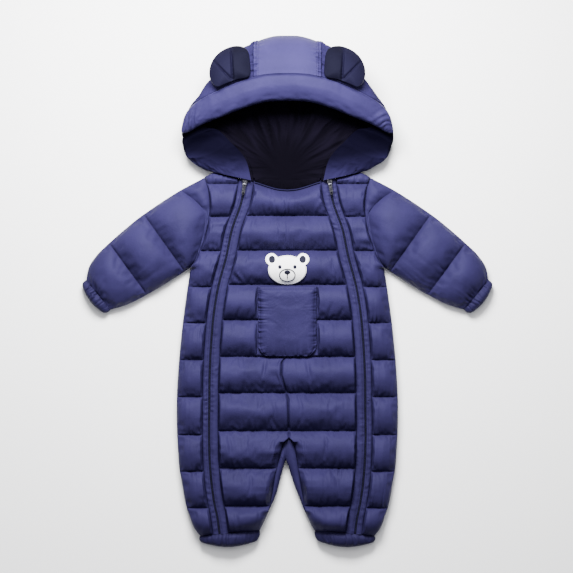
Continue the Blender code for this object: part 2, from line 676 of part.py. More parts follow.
SIDE_STOPS = (0.0, 1.0, 2.0, 3.0, 4.0, 4.5, 5.0, 5.5, 6.0, 7.0, 8.0, 9.0, 10.0, 11.0, 12.0, 13.0)


def hood_side(name, sign):
    outer = mirrored([side_section(k, SKIN) for k in SIDE_STOPS], sign)
    inner = mirrored([side_section(k, WALL_INSIDE) for k in SIDE_STOPS], sign)
    wall(name, [(outer, inner)])


def hood_lining():
    """Thin bowl inside the hood, its floor gathered to a line down the middle."""
    def bowl(layer):
        side = [side_section(k, layer, (0.0, hood_side_at["lining_y"](k))) for k in SIDE_STOPS]
        top = (0.0, SIDE_ROWS[0][-1])
        crown = [crown_section(x, layer, top) for x in np.linspace(-35.0, 35.0, 5)]
        return mirrored(side[::-1], -1) + crown + side

    wall("hood_lining", [(bowl(LINING_BACK), bowl(LINING_FACE))], LINING_DARK, 0.7)


def brim_section(place):
    """Closed section of the brim roll at a signed row number of its table."""
    at = {name: curve(abs(place)) for name, curve in brim_at.items()}
    sign = -1 if place < 0 else 1
    seam = np.array((sign * at["seam_x"], at["seam_y"]))
    mouth = np.array((sign * at["mouth_x"], at["mouth_y"]))
    thick = at["thick"]
    points = []
    for t, rise, drop in ((0.0, 0.0, 0.0), (0.18, 0.62, 0.0), (0.42, 1.0, 0.0), (0.7, 0.85, 0.0),
                          (0.9, 0.35, 0.0), (1.0, 0.0, 0.35), (0.96, 0.0, 0.8), (0.8, 0.0, 1.0),
                          (0.4, 0.0, 1.0), (0.0, 0.0, 0.9)):
        z = mix(at["seam_z"], at["mouth_z"], t) + at["crest"] * rise - thick * drop
        points.append((*mix(seam, mouth, t), z))
    return points


def hood_brim():
    places = [-6.0, -5.6, *np.arange(-5.0, 5.1, 0.5), 5.6, 6.0]
    shape = bmesh.new()
    rings = [[shape.verts.new([v * MM for v in point]) for point in brim_section(place)]
             for place in places]
    for a, b in zip(rings, rings[1:]):
        for k in range(len(a)):
            n = (k + 1) % len(a)
            shape.faces.new((a[k], a[n], b[n], b[k]))
    shape.faces.new(rings[0])
    shape.faces.new(rings[-1][::-1])
    bmesh.ops.triangulate(shape, faces=[f for f in shape.faces if len(f.verts) > 4])
    add_object("hood_brim", shape, SHELL)


def cushion(name, outline, layers, colour, tilt=None):
    """Closed pad: copies of an outline stacked as (scale or inset, height) layers, capped."""
    shape = bmesh.new()
    rings = []
    for amount, height in layers:
        ring = outline(amount)
        rings.append([shape.verts.new((x * MM, y * MM, (height + (tilt(x, y) if tilt else 0)) * MM))
                      for x, y in ring])
    for a, b in zip(rings, rings[1:]):
        for k in range(len(a)):
            n = (k + 1) % len(a)
            shape.faces.new((a[k], a[n], b[n], b[k]))
    ends = [shape.faces.new(rings[0]), shape.faces.new(rings[-1][::-1])]
    bmesh.ops.triangulate(shape, faces=ends)
    add_object(name, shape, colour)


def ear(name, sign):
    """Stuffed ear sewn in at the brim seam and lying back over the hood's side."""
    points = np.array(EAR_OUTLINE)
    middle = points.mean(axis=0)

    def outline(scale):
        moved = middle + (points - middle) * scale
        return [(sign * x, y) for x, y in moved]

    def lean(x, y):
        return EAR_SEAT - 0.105 * (abs(x) - 60.0) - 0.3 * (y - 340.0)

    cushion(name, outline, ((0.9, 0.0), (1.0, 2.5), (0.97, 6.0), (0.8, 9.6), (0.5, 11.4)),
            (0.03, 0.028, 0.075), lean)


# ---- neck -------------------------------------------------------------------------------------
def neck_strips():
    """Piping on the front neck edge, and the facing that shows inside the back of the neck."""
    half = 52.0
    places = np.linspace(-half, half, 21)
    outer = []
    inner = []
    for x in places:
        y = front_neck(abs(x)) + GAP
        outer.append([(x, y, 18.6), (x, y + 0.8, 20.6), (x, y + 2.4, 20.4), (x, y + 3.0, 18.4)])
        inner.append([(x, y + d, FRONT_IN + 0.2) for d in (0.0, 0.8, 2.4, 3.0)])
    wall("neck_binding", [(outer, inner)], (0.05, 0.05, 0.14))
    outer = []
    inner = []
    for x in np.linspace(-38.0, 38.0, 13):
        low = front_neck(abs(x)) + GAP + 3.6
        row = [(x, mix(low, NECK_Y - 1.2, t)) for t in (0.0, 0.5, 1.0)]
        outer.append([(*point, z) for point, z in zip(row, (16.4, 17.6, 16.4))])
        inner.append([(*point, BACK_TOP + 0.4) for point in row])
    wall("neck_facing", [(outer, inner)], LINING_DARK, 0.7)


# ---- pocket and patch -------------------------------------------------------------------------
def pocket():
    """Padded patch pocket with round lower corners, drawn in along its sides by gathers."""
    middle_y = (POCKET_TOP + POCKET_BOTTOM) / 2
    half_height = (POCKET_TOP - POCKET_BOTTOM) / 2

    def outline(inset):
        half = POCKET_HALF - inset
        tall = half_height - inset
        points = [(-half, middle_y + tall), (-half, middle_y + tall * 0.5), (-half, middle_y),
                  (-half, middle_y - tall * 0.5)]
        for corner, start in ((-1, 180.0), (1, 270.0)):
            radius = max(14.0 - inset, 3.0)
            for step in range(5):
                a = math.radians(start + 22.5 * step)
                points.append((corner * (half - radius) + radius * math.cos(a),
                               middle_y - tall + radius + radius * math.sin(a)))
            if corner < 0:
                points += [(-half * 0.3, middle_y - tall), (half * 0.3, middle_y - tall)]
        points += [(half, middle_y - tall * 0.5), (half, middle_y), (half, middle_y + tall * 0.5),
                   (half, middle_y + tall), (half * 0.3, middle_y + tall), (-half * 0.3, middle_y + tall)]
        return points

    cushion("pocket", outline, ((0.0, POCKET_FLOOR), (0.0, POCKET_FLOOR + 2.6), (2.5, POCKET_FLOOR + 4.4),
                                (7.0, POCKET_FLOOR + 8.0), (15.0, POCKET_FLOOR + 10.8),
                                (26.0, POCKET_FLOOR + 11.8)), SHELL)


def bear_patch():
    """Flat applique of a plain bear's head, draped over the chest channel row by row."""
    centre_x, centre_y, wide, tall = BEAR_HEAD
    ear_x, ear_y, ear_radius = BEAR_EAR
    outline = []
    for step in range(56):
        a = 2 * math.pi * step / 56
        c, s = math.cos(a), math.sin(a)
        reach = 1 / math.sqrt((c / wide) ** 2 + (s / tall) ** 2)
        for ear_side in (-1, 1):
            ex, ey = ear_side * ear_x - centre_x, ear_y - centre_y
            along_ray = ex * c + ey * s
            off_ray = abs(ex * s - ey * c)
            if off_ray < ear_radius and along_ray > 0:
                reach = max(reach, along_ray + math.sqrt(ear_radius ** 2 - off_ray ** 2))
        outline.append((centre_x + reach * c, centre_y + reach * s))
    upper, lower = CENTRE_SEAMS[1], CENTRE_SEAMS[2]
    stops = [*CHANNEL_STOPS, 1.0]
    levels = [mix(upper, lower, t) for t in stops]
    heights = [front_height(t, SWELL_WIDTH, EDGE_WIDTH) for t in stops]
    shape = bmesh.new()
    shape.faces.new([shape.verts.new((x * MM, y * MM, 0.0)) for x, y in outline])
    for level in levels[1:-1]:
        bmesh.ops.bisect_plane(shape, geom=shape.verts[:] + shape.edges[:] + shape.faces[:],
                               plane_co=(0.0, level * MM, 0.0), plane_no=(0.0, 1.0, 0.0))
    bmesh.ops.triangulate(shape, faces=shape.faces[:])
    for vertex in shape.verts:
        z = np.interp(vertex.co.y / MM, levels[::-1], heights[::-1])
        vertex.co.z = (z + 0.5) * MM
    lifted = bmesh.ops.extrude_face_region(shape, geom=shape.faces[:])["geom"]
    for item in lifted:
        if isinstance(item, bmesh.types.BMVert):
            item.co.z += 1.8 * MM
    add_object("bear_patch", shape, (0.85, 0.85, 0.87), 0.8)


# ---- zip sliders and pull tabs ----------------------------------------------------------------
METAL = (0.32, 0.32, 0.34)
SLIDER_FLOOR = 21.95
PIVOT_Z = 27.5
LUG_RADIUS = 2.2
BAR_RADIUS = 0.8
TAB_LENGTH = 17.0


def prism(points, axis, low, high):
    """Bmesh of a flat outline carried from `low` to `high` along an axis, 0 for X or 2 for Z."""
    shape = bmesh.new()
    rings = []
    for level in (low, high):
        ring = []
        for a, b in points:
            co = (level, a, b) if axis == 0 else (a, b, level)
            ring.append(shape.verts.new([v * MM for v in co]))
        rings.append(ring)
    for k in range(len(points)):
        n = (k + 1) % len(points)
        shape.faces.new((rings[0][k], rings[0][n], rings[1][n], rings[1][k]))
    shape.faces.new(rings[0])
    shape.faces.new(rings[1][::-1])
    return shape


def circle(radius, count, centre=(0.0, 0.0), start=0.0, sweep=360.0):
    steps = count if sweep == 360.0 else count - 1
    angles = [math.radians(start + sweep * k / steps) for k in range(count)]
    return [(centre[0] + radius * math.cos(a), centre[1] + radius * math.sin(a)) for a in angles]


def cut_or_join(item, shape, operation):
    """Apply one Boolean of a temporary shape to an object, and remove the shape."""
    tool = add_object(item.name + "_tool", shape, METAL)
    modifier = item.modifiers.new("shape", "BOOLEAN")
    modifier.operation = operation
    modifier.solver = "EXACT"
    modifier.object = tool
    graph = bpy.context.evaluated_depsgraph_get()
    mesh = bpy.data.meshes.new_from_object(item.evaluated_get(graph))
    item.modifiers.clear()
    item.data = mesh
    bpy.data.objects.remove(tool)


def place_on_zip(item, sign):
    item.location = (sign * zip_line(ZIP_TOP_Y) * MM, ZIP_TOP_Y * MM, PIVOT_Z * MM)
    item.rotation_euler = (0.0, 0.0, sign * TAB_TILT)


def slider(name, sign):
    """Slider body with a pierced lug; the pull tab's bar turns in the lug."""
    body_low = SLIDER_FLOOR - PIVOT_Z
    body_high = body_low + 3.9
    outline = ((-2.6, -6.0), (2.6, -6.0), (3.3, 1.0), (4.1, 5.6), (2.6, 6.6), (-2.6, 6.6), (-4.1, 5.6),
               (-3.3, 1.0))
    item = add_object(name, prism(outline, 2, body_low, body_high), METAL, 0.35, 0.9)
    lug = circle(LUG_RADIUS, 9, start=0.0, sweep=180.0)
    lug = lug + [(-LUG_RADIUS, body_high - 0.6), (LUG_RADIUS, body_high - 0.6)]
    cut_or_join(item, prism(lug, 0, -0.9, 0.9), "UNION")
    cut_or_join(item, prism(circle(1.3, 16), 0, -2.0, 2.0), "DIFFERENCE")
    place_on_zip(item, sign)


def pull_tab(name, sign):
    """Tab with two arms to a bar through the slider's lug, and a round hole at its end."""
    half = 2.5
    outline = [(half, 0.0), (-half, 0.0), (-half, -TAB_LENGTH + half)]
    outline += circle(half, 9, centre=(0.0, -TAB_LENGTH + half), start=180.0, sweep=180.0)[1:]
    item = add_object(name, prism(outline, 2, -0.6, 0.6), METAL, 0.35, 0.9)
    window = ((-1.35, 1.0), (-1.35, -3.4), (1.35, -3.4), (1.35, 1.0))
    cut_or_join(item, prism(window, 2, -2.0, 2.0), "DIFFERENCE")
    hole = circle(1.5, 16, centre=(0.0, -TAB_LENGTH + half))
    cut_or_join(item, prism(hole, 2, -2.0, 2.0), "DIFFERENCE")
    cut_or_join(item, prism(circle(BAR_RADIUS, 12), 0, -half + 0.1, half - 0.1), "UNION")
    place_on_zip(item, sign)


# ---- the whole garment ------------------------------------------------------------------------
def clear_scene():
    for item in list(bpy.data.objects):
        bpy.data.objects.remove(item, do_unlink=True)


def main():
    clear_scene()
    left_half, right_half = front_panel()
    gusset(left_half, right_half)
    back_panel()
    hood_crown()
    hood_lining()
    hood_brim()
    neck_strips()
    pocket()
    bear_patch()
    for side, sign in (("left", -1), ("right", 1)):
        side_panel("side_panel_" + side, sign)
        zip_bands(side, sign)
        sleeve("sleeve_" + side, sign)
        cuff("sleeve_cuff_" + side, sign, SLEEVE_CUFF_ROWS, (-0.78, -0.62), 9)
        cuff("leg_cuff_" + side, sign, LEG_CUFF_ROWS, (0.0, -1.0), 13)
        hood_side("hood_side_" + side, sign)
        ear("ear_" + side, sign)
        slider("zip_slider_" + side, sign)
        pull_tab("pull_tab_" + side, sign)


main()
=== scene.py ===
import json
import math

import bmesh
import bpy
import numpy as np
from mathutils import Matrix

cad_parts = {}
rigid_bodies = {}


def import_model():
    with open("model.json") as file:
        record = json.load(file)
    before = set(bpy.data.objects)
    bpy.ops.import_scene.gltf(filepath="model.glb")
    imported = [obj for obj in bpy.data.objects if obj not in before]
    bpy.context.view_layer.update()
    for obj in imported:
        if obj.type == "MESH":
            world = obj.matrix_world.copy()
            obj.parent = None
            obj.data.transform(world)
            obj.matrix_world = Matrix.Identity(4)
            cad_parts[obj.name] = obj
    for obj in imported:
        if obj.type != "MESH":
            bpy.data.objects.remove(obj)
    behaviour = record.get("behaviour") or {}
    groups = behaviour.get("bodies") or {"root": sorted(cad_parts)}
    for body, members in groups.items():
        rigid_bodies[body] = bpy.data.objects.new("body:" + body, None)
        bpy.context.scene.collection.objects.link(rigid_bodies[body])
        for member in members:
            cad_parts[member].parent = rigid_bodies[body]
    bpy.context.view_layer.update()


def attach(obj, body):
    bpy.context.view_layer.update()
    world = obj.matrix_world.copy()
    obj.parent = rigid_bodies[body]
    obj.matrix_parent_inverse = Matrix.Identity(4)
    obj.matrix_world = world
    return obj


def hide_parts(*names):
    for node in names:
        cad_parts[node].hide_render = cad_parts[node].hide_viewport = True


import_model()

bl_info = {
    "name": "Padded snowsuit",
    "version": (1, 0, 0),
    "blender": (4, 5, 0),
    "location": "View3D > Sidebar > Snowsuit",
    "description": "Quilted baby snowsuit laid on its back, built piece by piece",
    "category": "Object",
}

MM = 0.001
BODY = "suit"
SHARP_ANGLE = math.radians(48.0)
WELD_DISTANCE = 2e-6

# ---- sizes of the cloth and thread alone, in millimetres -----------------------------------------
THREAD_RADIUS = 0.34
THREAD_LIFT = (0.0, 0.0, 0.35)
BAND_THREAD_LIFT = (0.0, 0.0, 0.25)
EDGE_THREAD_LIFT = (0.0, 0.0, 0.3)
STITCH_GAP = 1.3
TOPSTITCH = 2.6
# where across the suit the seams' spacing is read
SEAM_X = 60.0
PILLOW_POWER = 0.72
ARMHOLE_FOOT = 37.0
PATCH_MIDDLE_Y = 37.0
POCKET_CORNER = 19.0
SLEEVE_SECTION = 55.0
LINING_TOP = (0.0, 306.0)
LINING_CROWN_HALF = 44.0
NECK_HALF = 52.0
GUSSET_TURN_Y = -274.0
CROTCH_BACK_Y = -269.0

# ---- sizes shared with the solids, in millimetres -----------------------------------------------
GAP = 0.3
BACK_TOP = 14.2
FRONT_IN = 14.6
SEAM_RISE = 4.4
PUFF = 17.0
EDGE_RISE = 1.2
SIDE_SWELL = 4.0
EDGE_WIDTH = 26.0
PLACKET_IN = 12.6
PLACKET_OUT = 8.8
ZIP_HALF = 1.7
ZIP_TOP = 18.2
TEETH_HALF = 1.1
EDGE_CLEARANCE = 0.55
POCKET_HALF = 47.9
POCKET_TOP = 9.2
POCKET_BOTTOM = -102.8
POCKET_FLOOR = 24.4
POCKET_HEM = 4.2
CROTCH_Y = -232.4
GUSSET_END_Y = -342.8
GUSSET_TIP_Y = -350.0
HOOD_WALL = 9.0
HOOD_FLOOR = 11.0
LINING = 2.4
LINING_GATHER = (-3.7, 196.0)
NECK_Y = 177.4
EAR_SEAT = 85.1

# (y, x) pairs, x measured from the centre line
SIDE_OUTLINE = ((-390.4, 139.8), (-384.0, 145.6), (-371.6, 152.8), (-358.8, 156.8), (-346.0, 161.4),
                (-333.2, 164.6), (-307.6, 168.8), (-282.0, 173.4), (-256.4, 175.4), (-230.8, 176.8),
                (-205.2, 177.6), (-166.8, 177.4), (-128.4, 175.4), (-90.0, 172.2), (-38.8, 166.6),
                (12.4, 159.4), (39.2, 155.0))
ZIP_LINE = ((-390.4, 108.0), (-364.8, 111.4), (-333.2, 117.6), (-285.2, 123.2), (-237.2, 125.1),
            (-189.2, 124.8), (-133.2, 124.2), (-77.2, 121.3), (-32.4, 117.1), (10.8, 109.6),
            (55.6, 97.6), (98.8, 88.5), (145.2, 72.8), (174.0, 68.0), (184.0, 66.5))
ARMHOLE = ((39.2, 154.7), (50.8, 146.2), (66.0, 139.6), (88.0, 131.6), (113.2, 126.1),
           (142.0, 123.7), (164.0, 126.6), (183.2, 131.7))
INNER_LEFT = ((-382.0, -44.2), (-371.6, -38.9), (-358.8, -33.1), (-346.0, -27.7), (-333.2, -21.3),
              (-320.4, -16.5), (-307.6, -13.3), (-294.8, -10.1), (-282.0, -6.9), (-269.0, -3.0))
INNER_RIGHT = ((-382.0, 43.2), (-371.6, 37.1), (-358.8, 31.5), (-346.0, 25.6), (-333.2, 20.8),
               (-320.4, 15.5), (-307.6, 10.7), (-294.8, 6.2), (-282.0, 2.7), (-269.0, -2.0))
NOTCH_LEFT = ((-382.0, -44.2), (-371.6, -38.9), (-358.8, -33.1), (-342.8, -28.2), (-320.4, -24.0),
              (-294.8, -20.0), (-275.6, -15.4), (-256.4, -10.1), (-238.8, -5.3), (CROTCH_Y, 2.7))
NOTCH_RIGHT = ((-382.0, 43.2), (-371.6, 37.1), (-358.8, 31.5), (-342.8, 27.4), (-320.4, 23.9),
               (-294.8, 19.4), (-275.6, 16.8), (-256.4, 13.3), (-238.8, 10.1), (CROTCH_Y, 2.7))
CENTRE_FOLD = ((CROTCH_Y, 2.7), (-222.0, 2.4), (-173.2, 1.1), (-158.8, -2.1), (-133.2, -9.3),
               (-113.2, -8.6), (-100.0, 0.0), (184.0, 0.0))
# y over |x|
FRONT_NECK = ((0.0, 160.4), (16.0, 162.0), (32.0, 166.4), (48.0, 171.8), (60.0, 174.6))
NECK_SEAM = ((0.0, 176.9), (57.6, 176.9), (117.6, 190.3), (125.0, 187.0), (132.0, 183.3))
HEM = ((44.0, -381.6), (140.0, -390.2))
CENTRE_SEAMS = (121.5, 66.0, 11.3, -45.0, -103.8, -161.8, -222.5, -282.3, -342.8)
SIDE_SEAMS = (172.4, 120.0, 65.2, 7.6, -50.0, -109.2, -168.4, -229.2, -287.6, -346.0)

BRIM_COLUMNS = ("seam_x", "seam_y", "seam_z", "mouth_x", "mouth_y", "mouth_z", "thick", "crest")
BRIM_ROWS = (
    (0.0, 344.8, 85.5, 0.0, 302.0, 72.0, 15.0, 7.5),
    (35.2, 343.0, 85.0, 35.2, 299.6, 72.0, 15.0, 7.5),
    (70.4, 334.0, 81.5, 72.0, 289.2, 69.5, 15.0, 7.5),
    (105.6, 320.4, 76.0, 102.4, 277.2, 65.0, 14.0, 7.0),
    (137.6, 304.4, 68.5, 126.4, 268.4, 59.0, 11.0, 6.5),
    (158.4, 286.0, 61.0, 147.0, 258.6, 54.0, 8.0, 5.5),
    (170.4, 260.6, 53.0, 165.8, 247.4, 50.0, 5.0, 2.5),
)
CROWN_HALF = 52.8
CROWN_COLUMNS = ("x", "edge_y", "edge_z", "rim_y", "rim_z")
CROWN_ROWS = (
    (0.0, 344.8, 85.5, 408.4, 40.0),
    (18.0, 344.4, 85.3, 407.6, 40.0),
    (36.0, 342.8, 84.9, 403.2, 40.0),
    (CROWN_HALF, 339.2, 83.6, 396.9, 40.0),
)
SIDE_COLUMNS = ("edge_x", "edge_y", "edge_z", "rim_x", "rim_y", "rim_z", "floor_y", "lining_y")
SIDE_ROWS = (
    (CROWN_HALF, 339.2, 83.6, CROWN_HALF, 396.9, 40.0, 371.0, 306.0),
    (76.0, 332.6, 80.6, 75.2, 386.0, 40.0, 347.0, 298.0),
    (99.0, 323.8, 77.2, 99.2, 364.5, 39.0, 323.0, 290.0),
    (121.0, 313.6, 72.6, 121.6, 338.8, 38.0, 299.0, 280.0),
    (139.4, 304.2, 67.0, 142.4, 311.6, 37.0, 278.0, 268.0),
    (150.2, 297.0, 57.0, 152.6, 299.0, 36.5, 270.0, 260.0),
    (155.4, 287.6, 46.0, 158.4, 288.6, 35.0, 262.0, 252.0),
    (147.0, 273.0, 40.0, 165.6, 271.6, 33.0, 247.0, 240.0),
    (131.0, 262.0, 38.5, 168.6, 250.8, 31.0, 233.0, 229.0),
    (110.4, 257.2, 38.0, 167.6, 235.0, 29.0, 219.0, 218.0),
    (90.4, 238.0, 38.5, 161.6, 218.8, 27.0, 206.0, 207.0),
    (74.4, 222.0, 37.5, 149.6, 206.8, 25.0, 195.0, 196.0),
    (64.0, 204.4, 35.0, 134.4, 197.2, 23.0, 185.0, 186.0),
    (57.6, 177.4, 31.0, 117.4, 190.8, 21.0, 177.4, 177.4),
)
SLEEVE_COLUMNS = ("station", "top_x", "top_y", "low_x", "low_y", "seam_z", "crest_z")
SLEEVE_ROWS = (
    (0.0, -131.9, 183.2, -154.9, 39.2, 20.0, 33.0),
    (0.42, -171.7, 162.3, -158.8, 36.8, 22.5, 38.0),
    (1.0, -229.9, 124.1, -164.5, 32.4, 24.0, 41.0),
    (1.5, -258.1, 101.9, -194.2, 13.2, 24.0, 41.0),
    (2.0, -285.3, 78.0, -224.6, -4.7, 23.0, 39.0),
    (2.4, -306.0, 57.6, -250.0, -17.9, 22.0, 36.0),
    (2.75, -318.4, 37.6, -269.6, -25.0, 21.0, 32.0),
    (3.0, -322.1, 19.1, -282.7, -28.6, 20.0, 26.0),
)
CUFF_COLUMNS = ("top_x", "top_y", "low_x", "low_y", "bow", "height")
SLEEVE_CUFF_ROWS = (
    (-322.4, 18.85, -283.0, -28.85, 0.0, 21.0),
    (-327.6, 14.6, -287.6, -33.0, 1.0, 24.0),
    (-328.4, 8.6, -293.2, -34.0, 2.0, 22.5),
    (-325.2, 0.8, -298.0, -31.8, 3.0, 18.0),
)
LEG_CUFF_ROWS = (
    (-139.6, -390.6, -44.4, -382.0, 0.0, 21.0),
    (-141.2, -395.4, -43.7, -389.0, 1.5, 25.0),
    (-138.4, -400.6, -47.6, -397.4, 4.0, 23.5),
    (-133.0, -403.0, -52.6, -400.6, 6.6, 18.0),
)
EAR_OUTLINE = ((60.0, 340.5), (59.0, 362.0), (62.0, 380.0), (70.0, 387.6), (82.0, 389.4),
               (94.0, 386.6), (106.0, 380.2), (116.0, 370.0), (122.0, 357.0), (123.4, 343.6),
               (120.0, 331.6), (111.0, 323.4), (98.0, 328.2), (80.0, 335.0))
BEAR_HEAD = (0.0, 34.6, 30.6, 23.4)
BEAR_EAR = (25.0, 51.6, 10.0)

# ---- creases, listed one by one: x and y of both ends, half width, depth (minus is a trough) ----
FRONT_CREASES = (
    (-92.0, 31.0, -76.0, 15.0, 3.2, -2.6), (-86.0, 34.0, -68.0, 14.0, 2.6, 2.2),
    (-78.0, 33.0, -66.0, 13.0, 3.0, -1.8), (-58.0, 96.0, -44.0, 132.0, 3.0, 1.6),
    (52.0, 128.0, 68.0, 152.0, 3.4, -1.8), (44.0, 126.0, 56.0, 146.0, 2.8, 1.5),
    (66.0, -42.0, 73.0, -16.0, 3.0, -2.0), (84.0, -44.0, 90.0, -24.0, 3.0, -1.9),
    (-80.0, -43.0, -72.0, -20.0, 2.8, -1.8), (-62.0, -44.0, -58.0, -26.0, 2.6, -1.5),
    (30.0, -108.0, 36.0, -146.0, 3.2, -2.2), (-36.0, -108.0, -40.0, -138.0, 2.8, -1.4),
    (18.0, -166.0, 22.0, -200.0, 2.8, -1.5), (-24.0, -168.0, -18.0, -214.0, 3.0, -1.9),
    (-14.0, -222.0, -26.0, -196.0, 2.6, -1.8), (16.0, -222.0, 27.0, -194.0, 2.8, -1.8),
    (-96.0, -226.0, -90.0, -262.0, 3.2, -1.4), (62.0, -230.0, 58.0, -268.0, 3.0, -1.5),
    (-58.0, -290.0, -62.0, -326.0, 3.0, -1.5), (76.0, -288.0, 82.0, -330.0, 3.2, -1.6),
    (-84.0, -350.0, -80.0, -378.0, 3.2, -1.8), (88.0, -350.0, 84.0, -378.0, 3.0, -1.8),
)
SIDE_CREASES_RIGHT = (
    (104.0, 96.0, 134.0, 92.0, 3.2, -1.6), (106.0, 86.0, 138.0, 80.0, 3.0, 1.4),
    (108.0, 79.0, 142.0, 69.0, 3.4, -1.5), (118.0, 132.0, 84.0, 126.0, 3.0, -1.4),
    (118.0, 38.0, 134.0, 36.0, 2.4, -1.6), (136.0, -56.0, 162.0, -70.0, 3.0, -1.2),
)
SIDE_CREASES_LEFT = (
    (-112.0, 92.0, -98.0, 93.0, 2.2, 2.0), (-124.0, 100.0, -96.0, 103.0, 3.0, -1.2),
    (-128.0, 76.0, -110.0, 72.0, 2.6, -1.5), (-160.0, -60.0, -138.0, -52.0, 3.0, -1.3),
)


# ---- arithmetic on whole arrays -------------------------------------------------------------------
def smooth(pairs):
    """Cubic through (position, value) pairs whose slopes come from the neighbouring pairs."""
    at, value = np.array(sorted(pairs), float).T
    slope = np.gradient(value, at)

    def curve(position):
        """The cubic between the two pairs on either side of the position."""
        p = np.clip(position, at[0], at[-1])
        k = np.clip(np.searchsorted(at, p) - 1, 0, len(at) - 2)
        span = at[k + 1] - at[k]
        t = (p - at[k]) / span
        rise = value[k] * (1 + 2 * t) * (1 - t) ** 2 + value[k + 1] * t * t * (3 - 2 * t)
        return rise + span * t * (1 - t) * (slope[k] * (1 - t) - slope[k + 1] * t)

    return curve


def straight(pairs):
    """Straight lines between (position, value) pairs."""
    at, value = np.array(sorted(pairs), float).T
    return lambda position: np.interp(position, at, value)


def fixed(value):
    """The same value at every position."""
    return lambda position: np.full(np.shape(position), float(value))


def table(columns, rows, by=None):
    """Smooth functions of the row number, or of the column `by`, one for each named column."""
    place = [row[columns.index(by)] for row in rows] if by else range(len(rows))
    return {name: smooth([(at, row[k]) for at, row in zip(place, rows)]) for k, name in enumerate(columns)}


def loop_curve(points, count):
    """Closed cubic through a ring of points: each span blends from one point to the next."""
    points = np.array(points, float)
    slope = (np.roll(points, -1, 0) - np.roll(points, 1, 0)) / 2
    place = np.arange(count) * len(points) / count
    k = place.astype(int)
    n = (k + 1) % len(points)
    t = (place - k).reshape(-1, *[1] * (points.ndim - 1))
    return (points[k] * (1 + 2 * t) * (1 - t) ** 2 + slope[k] * t * (1 - t) ** 2
            + points[n] * t * t * (3 - 2 * t) - slope[n] * t * t * (1 - t))


def mix(a, b, t):
    """Goes straight from a, where t is 0, to b, where t is 1."""
    return a + (b - a) * t


def share(value):
    """The value, held between 0 and 1."""
    return np.clip(value, 0.0, 1.0)


def bell(distance, width):
    """Bell curve: 1 at no distance, e to the minus square of the distance in widths elsewhere."""
    return np.exp(-(distance / width) ** 2)


def wave(place, seed):
    """Random wave from -1 to 1: random heights at the whole numbers, blended smoothly between."""
    heights = np.random.default_rng(seed).uniform(-1, 1, 257)
    cell = np.floor(place).astype(int)
    t = place - cell
    return mix(heights[cell % 257], heights[(cell + 1) % 257], t * t * (3 - 2 * t))


def field(x, y, seed):
    """Random field from -1 to 1 over the plane: random heights at a square lattice, blended."""
    heights = np.random.default_rng(seed).uniform(-1, 1, (67, 67))
    i, j = np.floor(x).astype(int), np.floor(y).astype(int)
    s, t = x - i, y - j
    s, t = s * s * (3 - 2 * s), t * t * (3 - 2 * t)
    near = mix(heights[i % 67, j % 67], heights[(i + 1) % 67, j % 67], s)
    far = mix(heights[i % 67, (j + 1) % 67], heights[(i + 1) % 67, (j + 1) % 67], s)
    return mix(near, far, t)


def pillow(t):
    """Half a sine wave over t from 0 to 1, to a power that fills out its shoulders."""
    return np.maximum(np.sin(np.pi * t), 0.0) ** PILLOW_POWER


def swell(distance, width):
    """Quarter of a sine wave from a seam to the width away, to the power 0.7."""
    return np.sin(share(distance / width) * np.pi / 2) ** 0.7


def round_off(distance, width=EDGE_WIDTH):
    """Quarter of a circle, from 0 at an edge up to 1 at the width away."""
    return np.sqrt(np.maximum(1 - (1 - share(distance / width)) ** 2, 0.0))


def gathers(along, away, seed, depth=1.0, pitch=6.5, reach=12.0):
    """Short folds that run away from stitching: a random wave along it, its ridges rounded and its
    troughs sharp, turned a little aside, uneven in length and fading with the distance."""
    leaning = along + away * 0.3 * wave(along / 29.0, seed + 1)
    folds = np.abs(wave(leaning / pitch, seed)) * 2 - 0.8 + 0.4 * wave(leaning / (pitch * 0.4), seed + 2)
    strong = 0.55 + 0.45 * wave(along / 37.0, seed + 3)
    length = reach * (0.8 + 0.4 * wave(along / 15.0, seed + 4))
    near = 0.45 + 0.55 * share(away / 2.5)
    return depth * folds * strong * near * np.exp(-(np.maximum(away, 0) / length) ** 1.5)


def off_line(x, y, x0, y0, x1, y1):
    """Distance to one side of the line through two points, and the share of the way along it."""
    long = math.dist((x0, y0), (x1, y1))
    s = ((x - x0) * (x1 - x0) + (y - y0) * (y1 - y0)) / long ** 2
    return ((x - x0) * (y1 - y0) - (y - y0) * (x1 - x0)) / long, s


def unit(vectors, least=0.0):
    """Vectors of the same direction and of length one."""
    return vectors / (np.linalg.norm(vectors, axis=-1, keepdims=True) + least)


def turns(count):
    """Angles evenly round a full turn."""
    return np.linspace(0.0, 2 * np.pi, count, endpoint=False)


def creases(x, y, rows):
    """Soft troughs and ridges: a bell across each line that dies away towards its ends."""
    total = np.zeros(np.shape(x))
    for x0, y0, x1, y1, width, depth in rows:
        off, s = off_line(x, y, x0, y0, x1, y1)
        off = off + 1.5 * np.sin(3.1 * s)
        total += depth * bell(off, width) * share(1 - (2 * s - 1) ** 2)
    return total


side_outline, zip_line, armhole = smooth(SIDE_OUTLINE), smooth(ZIP_LINE), smooth(ARMHOLE)
inner_left, inner_right = straight(INNER_LEFT), straight(INNER_RIGHT)
notch_left, notch_right = straight(NOTCH_LEFT), straight(NOTCH_RIGHT)
centre_fold, front_neck = straight(CENTRE_FOLD), smooth(FRONT_NECK)
neck_seam, hem = straight(NECK_SEAM), straight(HEM)


def garment_edge(y):
    """Half width of the garment: the armhole above its foot, the side outline below."""
    return np.where(y > ARMHOLE[0][0], armhole(y), side_outline(y))


def clear_edge(y):
    """The garment's edge, drawn in by a hair below the armhole."""
    return garment_edge(y) - EDGE_CLEARANCE * (1 - share((y - ARMHOLE_FOOT) / 3.0))


def neck_line(x):
    """The neck seam with the cloth's own seam gap."""
    return neck_seam(x) + 0.2


